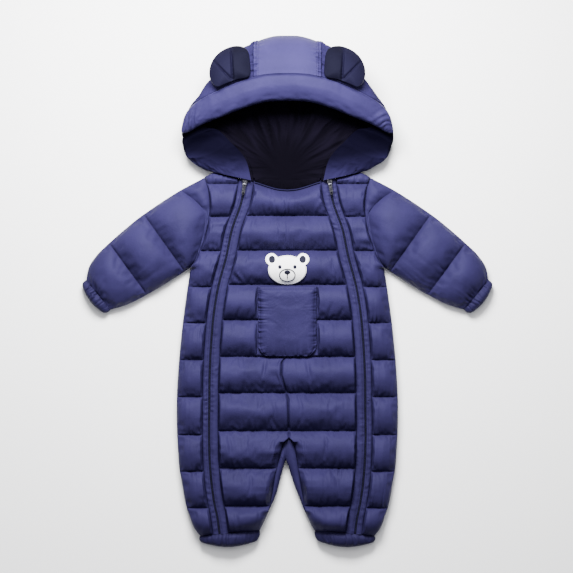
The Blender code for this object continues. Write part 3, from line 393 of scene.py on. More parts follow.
# ---- grids ----------------------------------------------------------------------------------------
def seam_pair(lines, place, x):
    """Upper and lower line of the channel that each row lies in, where they pass x."""
    levels = np.stack([line(x) for line in lines])
    channel = np.broadcast_to(np.clip(np.floor(place).astype(int), 0, len(lines) - 2), x.shape)
    upper = np.take_along_axis(levels, channel[None], 0)[0]
    lower = np.take_along_axis(levels, channel[None] + 1, 0)[0]
    return upper, lower, channel


def level(lines, place, x):
    """The y of each row at x, from its channel's upper line straight to the lower one."""
    upper, lower, channel = seam_pair(lines, place, x)
    return mix(upper, lower, place - channel)


def rows_of(lines, pitch):
    """Row places, whole numbers at the lines and closer together beside them."""
    places = []
    for k, (upper, lower) in enumerate(zip(lines, lines[1:])):
        count = 2 * max(int(abs(float(upper(SEAM_X)) - float(lower(SEAM_X))) / pitch / 2), 2)
        s = np.arange(count) / count
        places.append(k + s - 0.08 * np.sin(2 * np.pi * s))
    return np.append(np.concatenate(places), len(lines) - 1.0)


def plan(lines, place, across, start, stop):
    """Plan of a grid: each row follows its line from edge `start` to edge `stop`, x over y."""
    ends = []
    for edge in (start, stop):
        y = level(lines, place, np.full(place.shape, SEAM_X))
        for _ in range(6):
            y = level(lines, place, np.abs(edge(y)))
        ends.append(edge(y)[:, None])
    x = mix(*ends, across)
    return x, level(lines, place[:, None], np.abs(x))


def grid_faces(shape, start=0, wrap=False):
    """Four-cornered faces of a grid of points numbered row by row."""
    index = start + np.arange(shape[0] * shape[1]).reshape(shape[:2])
    if wrap:
        index = np.hstack([index, index[:, :1]])
    return np.stack([index[:-1, :-1], index[1:, :-1], index[1:, 1:], index[:-1, 1:]], -1).reshape(-1, 4)


def refine(kept, count):
    """Matrix that carries values at the kept places of a grid to all its places, by smooth curves."""
    rows = [smooth(list(zip(kept, row)))(np.arange(count)) for row in np.eye(len(kept))]
    return np.stack(rows, 1)


CLOTH_PRESSURE = 4.0
CLOTH_FRAMES = 12
CLOTH_REACH = 1.8
CLOTH_STIFFNESS = 12.0
CLOTH_EASE = 3.0


def settle(grids, held, slack=0.014):
    """Cloth simulation of padded cloth, run on every second row and column of its grids. Stitched
    lines and borders are held, the cloth between them is a little larger than its form and blown up
    from inside, so that it puckers along the stitching. No point moves more than CLOTH_REACH, and
    the movement dies away over the last CLOTH_EASE rows before each border."""
    kept = [[np.unique(np.append(np.arange(0, n, 2), n - 1)) for n in grid.shape[:2]] for grid in grids]
    parts = [grid[np.ix_(*k)] for grid, k in zip(grids, kept)]
    spots = np.concatenate([part.reshape(-1, 3) for part in parts])
    welded, index = np.unique(np.round(spots, 3), axis=0, return_inverse=True)
    index = index.ravel()
    pinned = np.zeros(len(welded))
    np.maximum.at(pinned, index, np.concatenate([h[np.ix_(*k)].ravel() for h, k in zip(held, kept)]))
    starts = np.cumsum([0] + [part.shape[0] * part.shape[1] for part in parts])
    faces = np.concatenate([grid_faces(part.shape, start) for part, start in zip(parts, starts)])
    mesh = bpy.data.meshes.new("settling")
    mesh.from_pydata(welded * MM, [], index[faces].tolist())
    piece = bpy.data.objects.new("settling", mesh)
    scene = bpy.context.scene
    scene.collection.objects.link(piece)
    piece.vertex_groups.new(name="held").add(np.flatnonzero(pinned > 0.5).tolist(), 1.0, "REPLACE")
    modifier = piece.modifiers.new("settle", "CLOTH")
    cloth = modifier.settings
    cloth.quality = 3
    cloth.mass = 0.1
    cloth.tension_stiffness = cloth.compression_stiffness = CLOTH_STIFFNESS
    cloth.shear_stiffness = 4.0
    cloth.bending_stiffness = 0.02
    cloth.vertex_group_mass = "held"
    cloth.use_pressure = True
    cloth.uniform_pressure_force = CLOTH_PRESSURE
    cloth.shrink_min = cloth.shrink_max = -slack
    cloth.effector_weights.gravity = 0.0
    modifier.collision_settings.use_collision = False
    modifier.point_cache.frame_start = 1
    modifier.point_cache.frame_end = CLOTH_FRAMES
    for frame_number in range(1, CLOTH_FRAMES + 1):
        scene.frame_set(frame_number)
    settled = piece.evaluated_get(bpy.context.evaluated_depsgraph_get()).data
    after = np.empty(len(welded) * 3, np.float32)
    settled.vertices.foreach_get("co", after)
    move = after.reshape(-1, 3) / MM - welded
    move *= np.minimum(1.0, CLOTH_REACH / np.maximum(np.linalg.norm(move, axis=1, keepdims=True), 1e-6))
    bpy.data.objects.remove(piece)
    bpy.data.meshes.remove(mesh)
    scene.frame_set(1)
    done = []
    for grid, k, start, stop in zip(grids, kept, starts, starts[1:]):
        part = move[index[start:stop]].reshape(len(k[0]), len(k[1]), 3)
        ease = [share(np.minimum(np.arange(len(row)), np.arange(len(row))[::-1]) / CLOTH_EASE) for row in k]
        part = part * ease[0][:, None, None] * ease[1][:, None]
        rows, columns = (refine(kept_places, n) for kept_places, n in zip(k, grid.shape))
        done.append(grid + np.einsum("ia,jb,abk->ijk", rows, columns, part))
    return done


def put(name, points, faces, material, replaces=(), slot="shell_nylon", close=None):
    """Makes one piece from points in millimetres, welds it, closes its underside and hangs it."""
    mesh = bpy.data.meshes.new(name)
    faces = faces if isinstance(faces, list) else faces.tolist()
    mesh.from_pydata(np.asarray(points, float).reshape(-1, 3) * MM, [], faces)
    shape = bmesh.new()
    shape.from_mesh(mesh)
    bmesh.ops.remove_doubles(shape, verts=shape.verts, dist=WELD_DISTANCE)
    bmesh.ops.dissolve_degenerate(shape, edges=shape.edges, dist=1e-7)
    if close is not None:
        border = [edge for edge in shape.edges if edge.is_boundary]
        wall = bmesh.ops.extrude_edge_only(shape, edges=border)["geom"]
        foot = [item for item in wall if isinstance(item, bmesh.types.BMVert)]
        flatten = Matrix.Diagonal((1.0, 1.0, 0.0, 1.0))
        flatten[2][3] = close * MM
        bmesh.ops.transform(shape, matrix=flatten, verts=foot)
        bmesh.ops.holes_fill(shape, edges=[edge for edge in shape.edges if edge.is_boundary], sides=0)
    bmesh.ops.recalc_face_normals(shape, faces=shape.faces)
    shape.to_mesh(mesh)
    shape.free()
    mesh.shade_smooth()
    mesh.set_sharp_from_angle(angle=SHARP_ANGLE)
    mesh.materials.append(material)
    piece = bpy.data.objects.new(name, mesh)
    bpy.context.scene.collection.objects.link(piece)
    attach(piece, BODY)
    if replaces:
        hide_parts(*replaces)
    return piece


def patches(name, grids, floor, material, **more):
    """One pad from grids of top points, closed down to a level underside."""
    faces = []
    start = 0
    for grid in grids:
        faces.append(grid_faces(grid.shape, start))
        start += grid.shape[0] * grid.shape[1]
    points = np.concatenate([grid.reshape(-1, 3) for grid in grids])
    return put(name, points, np.concatenate(faces), material, close=floor, **more)


def shell(name, outer, inner, material, wrap=False, fan=False, **more):
    """Closed wall between two grids of like shape; a wrapped one is a tube with open ends, and a
    fan's last column is folded together where its rows meet."""
    count = outer.shape[0] * outer.shape[1]
    faces = [grid_faces(outer.shape, 0, wrap), grid_faces(inner.shape, count, wrap)[:, ::-1]]
    index = np.arange(count).reshape(outer.shape[:2])
    rims = [index[0], index[-1], index[:, 0], index[:, -1]][:2 if wrap else 3 if fan else 4]
    for rim in rims:
        rim = np.append(rim, rim[0]) if wrap else rim
        faces.append(np.stack([rim[:-1], rim[1:], rim[1:] + count, rim[:-1] + count], -1))
    return put(name, np.concatenate([outer.reshape(-1, 3), inner.reshape(-1, 3)]), np.concatenate(faces),
               material, **more)


def loft(name, rings, material, **more):
    """Closed form from rings of points, each end ring capped."""
    count = rings.shape[1]
    ends = [list(range(count)), list(range((len(rings) - 1) * count, len(rings) * count))]
    return put(name, rings, grid_faces(rings.shape, 0, True).tolist() + ends, material, **more)


def stitched(grid, place=None):
    """1 for points on the grid's border and on its stitched lines, 0 between them."""
    held = np.zeros(grid.shape[:2])
    held[[0, -1]] = 1
    held[:, [0, -1]] = 1
    if place is not None:
        held[np.abs(place - np.round(place)) < 1e-6] = 1
    return held


def sew_points(*grids):
    """One grid of points from its x, y and z."""
    return np.stack(np.broadcast_arrays(*grids), -1)


def mirrored(grid, sign):
    """The grid itself, or its mirror image on the other side where sign is -1."""
    return grid * np.array((sign, 1.0, 1.0))


# ---- shader nodes ---------------------------------------------------------------------------------
class Wire:
    """A node's output that takes part in sums; each operator adds one Math node."""

    def __init__(self, board, socket):
        self.board = board
        self.socket = socket

    def join(self, operation, first, second=0.0, third=0.0):
        """One Math node on up to three values."""
        return self.board.node("ShaderNodeMath", {"operation": operation}, {0: first, 1: second, 2: third})

    def __add__(self, other):
        return self.join("ADD", self, other)

    def __sub__(self, other):
        return self.join("SUBTRACT", self, other)

    def __rsub__(self, other):
        return self.join("SUBTRACT", other, self)

    def __mul__(self, other):
        return self.join("MULTIPLY", self, other)

    def __pow__(self, other):
        return self.join("POWER", self, other)

    def sine(self):
        """Sine of the value, in radians."""
        return self.join("SINE", self)

    def size(self):
        """The value without its sign."""
        return self.join("ABSOLUTE", self)

    def step(self, low, high):
        """Soft step from 0 at `low` to 1 at `high`."""
        settings = {"interpolation_type": "SMOOTHSTEP"}
        sockets = {"Value": self, "From Min": low, "From Max": high}
        return self.board.node("ShaderNodeMapRange", settings, sockets)


class Board:
    """One material and the nodes that feed its shader."""

    def __init__(self, name, roughness, metallic=0.0, gloss=0.5):
        self.material = bpy.data.materials.new(name)
        self.material.use_nodes = True
        self.tree = self.material.node_tree
        self.shader = self.tree.nodes["Principled BSDF"]
        settings = {"Roughness": roughness, "Metallic": metallic, "Specular IOR Level": gloss}
        for socket, value in settings.items():
            self.shader.inputs[socket].default_value = value

    def node(self, kind, settings=None, sockets=None, output=0):
        """Adds a node, sets and feeds it, and gives one of its outputs as a wire."""
        made = self.tree.nodes.new(kind)
        for key, value in (settings or {}).items():
            setattr(made, key, value)
        for key, value in (sockets or {}).items():
            self.feed(made.inputs[key], value)
        return Wire(self, made.outputs[output])

    def feed(self, socket, value):
        """Links a wire to a socket, or writes a plain value into it."""
        if isinstance(value, Wire):
            self.tree.links.new(value.socket, socket)
        else:
            socket.default_value = value

    def set(self, **sockets):
        """Feeds the shader's sockets and gives the material."""
        for key, value in sockets.items():
            self.feed(self.shader.inputs[key.replace("_", " ")], value)
        return self.material

    def spot(self):
        """The point's own place in metres, as one vector."""
        return self.node("ShaderNodeTexCoord", output=3)

    def plan(self, spot):
        """A vector's x and y."""
        outputs = self.node("ShaderNodeSeparateXYZ", sockets={0: spot}).socket.node.outputs
        return [Wire(self, socket) for socket in outputs[:2]]

    def noise(self, spot, scale, detail=2.0, rough=0.5, twist=0.0):
        """Cloudy noise from 0 to 1."""
        return self.node("ShaderNodeTexNoise", None, {"Vector": spot, "Scale": scale, "Detail": detail,
                                                      "Roughness": rough, "Distortion": twist})

    def blend(self, amount, first, second):
        """Colour between two colours."""
        return self.node("ShaderNodeMix", {"data_type": "RGBA"}, {0: amount, 6: first, 7: second}, output=2)

    def bump(self, height, strength):
        """Normals of a surface raised by a height in metres."""
        sockets = {"Height": height, "Strength": strength, "Distance": 1.0}
        return self.node("ShaderNodeBump", None, sockets)


def tone(colour, factor):
    """A lighter or darker tone of a colour, as four numbers."""
    return (*[min(c * factor, 1.0) for c in tuple(colour)[:3]], 1.0)


def nylon(name, colour, roughness=0.58, crinkle=1.0, dark=None, deepest=0.42, gloss=0.07):
    """Downproof nylon: a fine plain weave, cloudy in tone and finely crinkled. Where `dark` is 1, its
    tone is `deepest` times as light."""
    board = Board(name, roughness, gloss=gloss)
    board.shader.inputs["Specular Tint"].default_value = (0.55, 0.55, 1.0, 1.0)
    spot = board.spot()
    x, y = board.plan(spot)
    cloud = board.noise(spot, 26.0, 3.0)
    fine = board.noise(spot, 420.0, 2.0)
    shade = (cloud * 0.75 + fine * 0.25).step(0.25, 0.75)
    base = board.blend(shade, tone(colour, 0.86), tone(colour, 1.16))
    if dark is not None:
        base = board.blend(dark(x, y), base, tone(colour, deepest))
    weave = (x * 9000.0).sine() * (y * 9000.0).sine()
    crumple = board.noise(spot, 95.0, 4.0, 0.55, 0.6)
    ripple = board.noise(spot, 240.0, 3.0, 0.5, 0.3)
    height = crumple * 0.0007 * crinkle + ripple * 0.0002 * crinkle + weave * 0.00002
    rough = (cloud - 0.5) * 0.12 + roughness
    return board.set(Base_Color=base, Roughness=rough, Normal=board.bump(height, 0.55))


def colours():
    """The colours that the sidebar shows."""
    return bpy.context.scene.snowsuit_colours


def sizes():
    """The sizes that the sidebar shows."""
    return bpy.context.scene.snowsuit_sizes


def material(name):
    """The named finish, made the first time that a piece asks for it."""
    found = bpy.data.materials.get(name)
    return found if found else FINISHES[name](name)


def shell_finish(name):
    """The shell's nylon in its own tone."""
    return nylon(name, colours().shell)


def cheek_finish(name):
    """Hood side cloth with painted shade: a deeper tone where the cheek lies in the brim's shade below its
    end.
    """
    def painted_shade(x, y):
        """Mask of the painted shade: 1 from a line that rises away from the middle up to the brim's end, 0
        elsewhere.
        """
        above = y - x.size() * 0.12 - 0.2
        return above.step(-0.034, 0.012) * (1 - y.step(0.27, 0.284))
    # painted shade: where the mask is 1, the cloth's tone drops to 0.12 of the shell's
    return nylon(name, colours().shell, 0.8, dark=painted_shade, deepest=0.12, gloss=0.01)


def crown_finish(name):
    """Shell nylon, less crinkled, its tone 1.5 times as light: painted light, for the stronger light that
    falls on the crown.
    """
    return nylon(name, tone(colours().shell, 1.5), 0.62, 0.5)


def ear_finish(name):
    """Ear cloth: the sector beside the crown is darker than the two outside its seam."""
    def crown_side(x, y):
        """1 on the crown's side of the upright seam, 0 outside it."""
        return 1 - x.size().step(0.0845, 0.0875)
    return nylon(name, tone(colours().shell, 0.2), 0.66, 0.6, crown_side)


def lining_finish(name):
    """Matt woven lining: fine creases fan out from the gather at the neck, a noise that varies with the
    direction from it and hardly with the distance. Each crease is a bump and a painted highlight: a lighter
    line of colour, with the cloth between at half the tone."""
    board = Board(name, 0.95, gloss=0.02)
    spot = board.spot()
    x, y = board.plan(spot)
    aside, ahead = x - LINING_GATHER[0] * MM, y - LINING_GATHER[1] * MM
    away = (aside * aside + ahead * ahead) ** 0.5
    fan = board.node("ShaderNodeCombineXYZ", {}, {
        "X": aside.join("ARCTAN2", aside, ahead) * 3.4 + board.noise(spot, 16.0) * 0.9, "Y": away * 8.0})
    crease_and_highlight = (1 - (board.noise(fan, 1.0, 2.0) - 0.5).size() * 7.0).step(0.0, 1.0) * away.step(0.02, 0.08)
    # painted highlight: the cloth is twice as light along each crease line as between them
    base = board.blend(crease_and_highlight, tone(colours().lining, 0.5), tone(colours().lining, 1.0))
    rib = ((x + y) * 7000.0).sine() * 0.00003 + crease_and_highlight * 0.004
    return board.set(Base_Color=base, Normal=board.bump(rib, 0.5))


def tape_finish(name):
    """Black woven tape, ribbed across."""
    board = Board(name, 0.8, gloss=0.1)
    spot = board.spot()
    y = board.plan(spot)[1]
    rib = (y * 6000.0).sine() * 0.00008
    thread = board.noise(spot, 300.0).step(0.3, 0.7)
    base = board.blend(thread, (0.003, 0.003, 0.008, 1.0), (0.006, 0.006, 0.018, 1.0))
    return board.set(Base_Color=base, Normal=board.bump(rib, 0.6))


def metal_finish(name):
    """Dark plated metal, paler where it is rubbed."""
    board = Board(name, 0.22, 1.0)
    spot = board.spot()
    worn = board.noise(spot, 350.0, 3.0).step(0.4, 0.7)
    base = board.blend(worn, (0.02, 0.02, 0.026, 1.0), (0.05, 0.05, 0.056, 1.0))
    scratch = board.noise(spot, 1500.0, 2.0) * 0.00002
    return board.set(Base_Color=base, Roughness=worn * 0.05 + 0.2, Normal=board.bump(scratch, 0.5))


def patch_finish(name):
    """White felted applique cloth."""
    board = Board(name, 0.85, gloss=0.2)
    spot = board.spot()
    nap = board.noise(spot, 900.0, 3.0)
    base = board.blend(nap.step(0.3, 0.7), tone(colours().patch, 0.93), tone(colours().patch, 1.05))
    return board.set(Base_Color=base, Normal=board.bump(nap * 0.0004, 0.5))


def thread_finish(name, colour):
    """Twisted thread with fine slanting ridges."""
    board = Board(name, 0.7, gloss=0.08)
    spot = board.spot()
    x, y = board.plan(spot)
    ply = ((x + y * 0.7) * 5200.0).sine()
    base = board.blend(board.noise(spot, 500.0).step(0.3, 0.7), tone(colour, 0.8), tone(colour, 1.2))
    return board.set(Base_Color=base, Normal=board.bump(ply * 0.00004, 0.6))


def floor_finish(name):
    """Pale matt floor, faintly cloudy."""
    board = Board(name, 0.9)
    spot = board.spot()
    base = board.blend(board.noise(spot, 3.0, 2.0), (0.88, 0.88, 0.885, 1.0), (0.9, 0.9, 0.905, 1.0))
    return board.set(Base_Color=base)


FINISHES = {
    "nylon_shell": shell_finish,
    "nylon_crown": crown_finish,
    "nylon_cheek": cheek_finish,
    # nylon_brim: shell nylon in a tone 1.3 times as light, painted light for the stronger light on the brim
    "nylon_brim": lambda name: nylon(name, tone(colours().shell, 1.3)),
    # nylon_cuff: shell nylon in a tone 0.75 times as light, painted shade that darkens the cuffs
    "nylon_cuff": lambda name: nylon(name, tone(colours().shell, 0.75), 0.62, 0.6),
    "nylon_ear": ear_finish,
    "lining_weave": lining_finish,
    "zip_weave": tape_finish,
    "dark_metal": metal_finish,
    "white_felt": patch_finish,
    "piping_nylon": lambda name: nylon(name, colours().piping, 0.55, 0.4),
    "thread_navy": lambda name: thread_finish(name, tone(colours().shell, 0.75)),
    "thread_charcoal": lambda name: thread_finish(name, colours().bear_thread),
    "thread_grey": lambda name: thread_finish(name, (0.42, 0.41, 0.44)),
    "pale_floor": floor_finish,
}


# ---- quilted panels -------------------------------------------------------------------------------
CENTRE_LINES = [front_neck, *[fixed(y) for y in CENTRE_SEAMS], hem]
SIDE_LINES = [neck_line, *[fixed(y) for y in SIDE_SEAMS], hem]


def centre_edge(y):
    """Half width of the centre panel, up to the seam gap beside the inner band."""
    return zip_line(y) - ZIP_HALF - PLACKET_IN - GAP


def side_start(y):
    """Where the side panel begins, past the seam gap beside the outer band."""
    return zip_line(y) + ZIP_HALF + PLACKET_OUT + GAP


def spread(count, crowd=0.05):
    """Places from 0 to 1, closer together towards both ends."""
    u = np.linspace(0.0, 1.0, count)
    return u - crowd * np.sin(2 * np.pi * u)


def quilting(x, y, lines, place, from_seam, from_edge, puff, seed, calm=0.0):
    """Outer height of a padded wall: a pillow between stitched lines, of uneven fullness, brought
    down at sewn sides, rounded off at the garment's edge and gathered along all its stitching."""
    upper, lower, channel = seam_pair(lines, place[:, None], np.abs(x))
    t = place[:, None] - channel
    loose = 1 - calm
    fullness = puff * sizes().fullness * (1 + 0.1 * field(x / 47.0, channel * 5.3 + 0.5, seed))
    crest = t + 0.05 * wave(x / 41.0 + channel * 9.7, seed + 5) * np.sin(np.pi * t)
    full = FRONT_IN + SEAM_RISE + PUFF * fullness * pillow(crest) * swell(from_seam, SIDE_SWELL)
    depth = sizes().gather_depth / MM
    free = loose * swell(from_seam, 5.0)
    along = x + channel * 61.0
    full = full + free * gathers(along, upper - y, seed + 10, depth * 0.8, 7.0, 10.0)
    full = full + free * gathers(along, y - lower, seed + 20, depth, 6.5, 14.0)
    full = full + free * 0.3 * wave(along / 3.6 + 0.5 * wave(y / 30.0, seed), seed + 35) * pillow(t)
    full = full + loose * pillow(t) * gathers(y, from_seam, seed + 40, depth * 0.8, 6.0, 9.0)
    full = full + loose * pillow(t) * 0.55 * field(x / 16.0, y / 21.0, seed + 30)
    low = FRONT_IN + EDGE_RISE
    return low + (full - low) * round_off(from_edge)


def centre_grid(sign):
    """Top of one half of the centre panel, from its middle or inner leg to the zip."""
    inner = notch_left if sign < 0 else notch_right
    place = rows_of(CENTRE_LINES, 2.3)
    x, y = plan(CENTRE_LINES, place, spread(84, 0.04),
                lambda y: np.where(y < CROTCH_Y - 0.01, inner(y), centre_fold(y)),
                lambda y: sign * centre_edge(y))
    from_middle = np.abs(x - x[:, :1])
    from_seam = np.abs(x[:, -1:] - x)
    leg = share((CROTCH_Y - y) / 10.0)
    below = share((GUSSET_END_Y - y) / 12.0)
    beside_gusset = from_middle * 0.32 + 12.0 * (1 - leg) + 60.0 * below
    from_seam = np.minimum(from_seam, beside_gusset)
    on_chest = (y > CENTRE_SEAMS[2]) * (y < CENTRE_SEAMS[1])
    under_patch = share(1.6 - np.hypot(x / 40.0, (y - PATCH_MIDDLE_Y) / 30.0)) ** 0.5 * on_chest
    z = quilting(x, y, CENTRE_LINES, place, from_seam, mix(EDGE_WIDTH, from_middle, below), 1.0, 100,
                 under_patch)
    z = z + creases(x, y, FRONT_CREASES) * swell(from_seam, 8.0)
    folded = share((-100.0 - y) / 12.0) * share((y - CROTCH_Y + 6.0) / 12.0)
    open_to = x - centre_fold(y)
    flap = bell(open_to + 4.5, 3.0) - 6.0 * bell(open_to, 1.5)
    z = z + folded * flap * share(np.abs(z - 19.0) / 6.0)
    beside = np.maximum(np.abs(x) - POCKET_HALF - 0.8, 0.0)
    pressed = POCKET_FLOOR - 0.5 + beside * 4.0
    behind_pocket = (y < POCKET_TOP + 1.6) & (y > POCKET_BOTTOM - 0.6)
    return sew_points(x, y, np.where(behind_pocket, np.minimum(z, pressed), z)), place


def side_grid(sign):
    """Top of a front side panel, from the zip to the side seam or armhole."""
    place = rows_of(SIDE_LINES, 2.4)
    x, y = plan(SIDE_LINES, place, spread(44), side_start, clear_edge)
    from_zip, to_edge = x - x[:, :1], x[:, -1:] - x
    sewn = share((y - ARMHOLE_FOOT) / 7.0)
    x = sign * x
    puff = np.where(place < 1.0, 0.35, 0.8)[:, None]
    z = quilting(x, y, SIDE_LINES, place, np.minimum(from_zip, mix(EDGE_WIDTH, to_edge, sewn)),
                 mix(to_edge, EDGE_WIDTH, sewn), puff, 200 + 50 * (sign > 0))
    marks = SIDE_CREASES_RIGHT if sign > 0 else SIDE_CREASES_LEFT
    z = z + creases(x, y, marks) * swell(from_zip, 6.0) * round_off(to_edge, 8.0)
    return sew_points(x, y, z), place


def seam_rows(grid, place):
    """The grid's rows that lie on stitched lines, raised to where the thread shows."""
    on_line = (np.abs(place - np.round(place)) < 1e-6) & (place > 0.5) & (place < place[-1] - 0.5)
    return [row[2:-2] + THREAD_LIFT for row in grid[on_line]]


PLACKET_LINES = [neck_line, hem]


def band_grid(sign, inside, outside, heights):
    """A band that follows the zip; `heights` takes the share across and the point's x and y."""
    place = np.linspace(0.0, 1.0, 300)
    across = np.linspace(0.0, 1.0, 14)
    x, y = plan(PLACKET_LINES, place, across, inside, outside)
    return sew_points(sign * x, y, heights(across, sign * x, y))


def placket_heights(zip_side, seed):
    """Flat band, rounded over at both sides, pinched along the topstitching beside the zip."""
    def heights(across, x, y):
        """Height at each share across the band."""
        t = across if zip_side else 1 - across
        width = np.abs(x[:, -1:] - x[:, :1])
        from_zip = (1 - t) * width
        body = 18.6 + 3.0 * np.sin(np.pi * share(t * 0.98 + 0.01)) ** 0.45
        sunk = bell(from_zip - TOPSTITCH, 0.9)
        folds = gathers(y, np.abs(from_zip - TOPSTITCH), seed, 2.3, 4.2, 3.4)
        sewn = gathers(y, t * width, seed + 7, 2.4, 5.5, 4.5)
        ease = np.sin(np.pi * t) ** 0.5
        uneven = 0.4 * wave(y / 34.0, seed + 9)
        return body - 0.7 * sunk * ease + (folds + sewn) * ease + uneven * ease
    return heights


def zip_strip(sign):
    """Level strip of tape between the bands, under the teeth."""
    place = np.linspace(0.0, 1.0, 240)
    x, y = plan([lambda x: neck_seam(x) - 2.0, hem], place, np.linspace(0.0, 1.0, 5),
                lambda y: zip_line(y) - TEETH_HALF, lambda y: zip_line(y) + TEETH_HALF)
    return sew_points(sign * x, y, np.full(x.shape, ZIP_TOP))


def placket_grids(sign):
    """Inner and outer band beside one zip."""
    seed = 900 + 20 * (sign > 0)
    inner = band_grid(sign, lambda y: zip_line(y) - ZIP_HALF - PLACKET_IN,
                      lambda y: zip_line(y) - TEETH_HALF - GAP, placket_heights(True, seed))
    outer = band_grid(sign, lambda y: zip_line(y) + TEETH_HALF + GAP,
                      lambda y: zip_line(y) + ZIP_HALF + PLACKET_OUT, placket_heights(False, seed + 5))
    return inner, outer


def gusset_grid():
    """Strip round the crotch, from the foot of one leg's seam over the apex to the other's."""
    w = spread(70, 0.04)[:, None]
    f = np.linspace(0.0, 1.0, 12)
    arms = []
    for sign, notch, inner in ((-1, notch_left, inner_left), (1, notch_right, inner_right)):
        y = mix(CROTCH_Y, GUSSET_TIP_Y, w)
        down = (CROTCH_Y - y) / (CROTCH_Y - GUSSET_TURN_Y)
        low = np.where(y < GUSSET_TURN_Y, y, mix(CROTCH_BACK_Y - 0.6, GUSSET_TURN_Y, down))
        seam_x = np.where(w > 0, notch(y) - sign * GAP, 2.7)
        edge_x = np.where(w > 0, inner(low), -2.4)
        seam_y = np.where(w > 0, y, CROTCH_Y - 0.6)
        edge_y = np.where(w > 0, low, CROTCH_BACK_Y + 0.4)
        x, yy = mix(seam_x, edge_x, f), mix(seam_y, edge_y, f)
        width = np.hypot(seam_x - edge_x, seam_y - edge_y)
        padding = 4.4 * pillow(f) * share(width / 14.0)
        folds = gathers(yy * 1.3 + x, f * width, 320 + sign, 0.9, 5.0, 8.0) * np.sin(np.pi * f)
        sewn = mix(FRONT_IN + SEAM_RISE, FRONT_IN + EDGE_RISE, share((GUSSET_END_Y + 8.0 - y) / 14.0))
        z = mix(sewn, FRONT_IN + EDGE_RISE, f) + padding + folds * share(width / 10.0)
        arms.append(sew_points(x, yy, z))
    return np.concatenate([arms[0][::-1], arms[1][1:]])


def back_grid(sign):
    """Underside of half of the back: level where it lies, rolled up at the garment's open edges."""
    lines = [neck_line, fixed(ARMHOLE[0][0]), fixed(CROTCH_BACK_Y), hem]
    inner = inner_left if sign < 0 else inner_right
    place = rows_of(lines, 3.4)
    u = np.linspace(0.0, 1.0, 36)
    x, y = plan(lines, place, 0.5 - 0.5 * np.cos(np.pi * u),
                lambda y: sign * clear_edge(y),
                lambda y: np.where(y < CROTCH_BACK_Y - 0.01, inner(y), -2.0))
    outside = np.abs(x - x[:, :1])
    inside = np.abs(x - x[:, -1:])
    outer_roll = share((41.0 - y) / 4.0) * (1 - np.sqrt(1 - (1 - share(outside / 8.5)) ** 2))
    inner_roll = (y < CROTCH_BACK_Y - 0.01) * (1 - np.sqrt(1 - (1 - share(inside / 8.5)) ** 2))
    return sew_points(x, y, 10.0 * np.maximum(outer_roll, inner_roll))


# ---- flattened tubes ------------------------------------------------------------------------------
def flat_tube(x, y, z, foot, edge_z, inset, hollow):
    """Outer and inner rings of a tube that lies flat. The top points are given; both edges roll
    under on a quarter ellipse to a level underside, and the hollow is the same ring drawn in."""
    top = np.stack([x, y], -1)
    first, last = top[:, :1], top[:, -1:]
    length = np.linalg.norm(last - first, axis=-1, keepdims=True)
    across = (last - first) / length
    a = np.radians(np.array((12.0, 26.0, 42.0, 58.0, 74.0, 90.0)))
    d = (foot * (1 - np.cos(a)))[None, :, None]
    roll_z = np.broadcast_to(edge_z * (1 - np.sin(a)), (len(x), len(a)))
    middle = top[:, np.round(np.linspace(0.8, 0.2, 7) * (x.shape[1] - 1)).astype(int)]
    plan_points = np.concatenate([top, last - across * d, middle, (first + across * d)[:, ::-1]], 1)
    heights = np.concatenate([z, roll_z, np.zeros((len(x), 7)), roll_z[:, ::-1]], 1)
    outer = np.concatenate([plan_points, heights[..., None]], -1)
    centre = (first + last) / 2
    drawn = centre + (plan_points - centre) * (1 - 2 * inset / length)
    low, high = hollow
    inner_z = np.full(heights.shape, low)
    inner_z[:, :x.shape[1]] = high
    inner_z[:, 0] = inner_z[:, x.shape[1] - 1] = (low + high) / 2
    return outer, np.concatenate([drawn, inner_z[..., None]], -1)


SLEEVE_AT = table(SLEEVE_COLUMNS, SLEEVE_ROWS, by="station")


def sleeve_top(sign, q, channel, t):
    """Top of a sleeve at shares q across and places t down a channel, on the -X side."""
    cap = np.maximum(0.07, 0.42 * (1 - q / 0.46))
    starts = np.stack([0 * q, cap, 1 + 0 * q, 2 + 0 * q, 3 + 0 * q])
    begin, end = starts[channel], starts[channel + 1]
    s = mix(begin, end, t[:, None])
    at = {name: curve(s) for name, curve in SLEEVE_AT.items()}
    chord = mix(SLEEVE_ROWS[0][2], SLEEVE_ROWS[0][4], q)
    bow = -armhole(chord) - 0.02 - mix(SLEEVE_ROWS[0][1], SLEEVE_ROWS[0][3], q)
    x = mix(at["top_x"], at["low_x"], q) + bow * np.maximum(1 - s, 0.0) ** 1.3
    y = mix(at["top_y"], at["low_y"], q)
    width = (end - begin) * SLEEVE_SECTION
    down = t[:, None]
    puff = pillow(down) * share(width / 24.0)
    seed = 400 + 60 * (sign > 0)
    strong = 1.35 if sign > 0 else 1.0
    over = q * 150.0 + channel[:, None] * 71.0
    depth = sizes().gather_depth / MM * strong
    edge = np.sqrt(np.sin(np.pi * q))
    z = mix(at["seam_z"], at["crest_z"], puff * (1 + 0.06 * field(over / 40.0, down * 2.0, seed)))
    z = z + gathers(over, down * width, seed + 10, depth * 0.7, 8.0, 9.0) * puff ** 0.3
    z = z + gathers(over, (1 - down) * width, seed + 20, depth, 7.0, 13.0) * puff ** 0.3
    z = z + 0.7 * field(over / 17.0, s * 5.0, seed + 30) * pillow(down)
    lower = share((q - 0.45) * 3.0)
    from_fold = np.abs(s - 1.75) * SLEEVE_SECTION
    z = z + lower * gathers(q * 150.0, from_fold, seed + 40, depth * 0.9, 9.0, 20.0)
    z = z + gathers(q * 110.0, (3.0 - s) * SLEEVE_SECTION, seed + 50, depth * 1.5, 8.0, 17.0)
    return x, y, mix(12.0, z, edge)


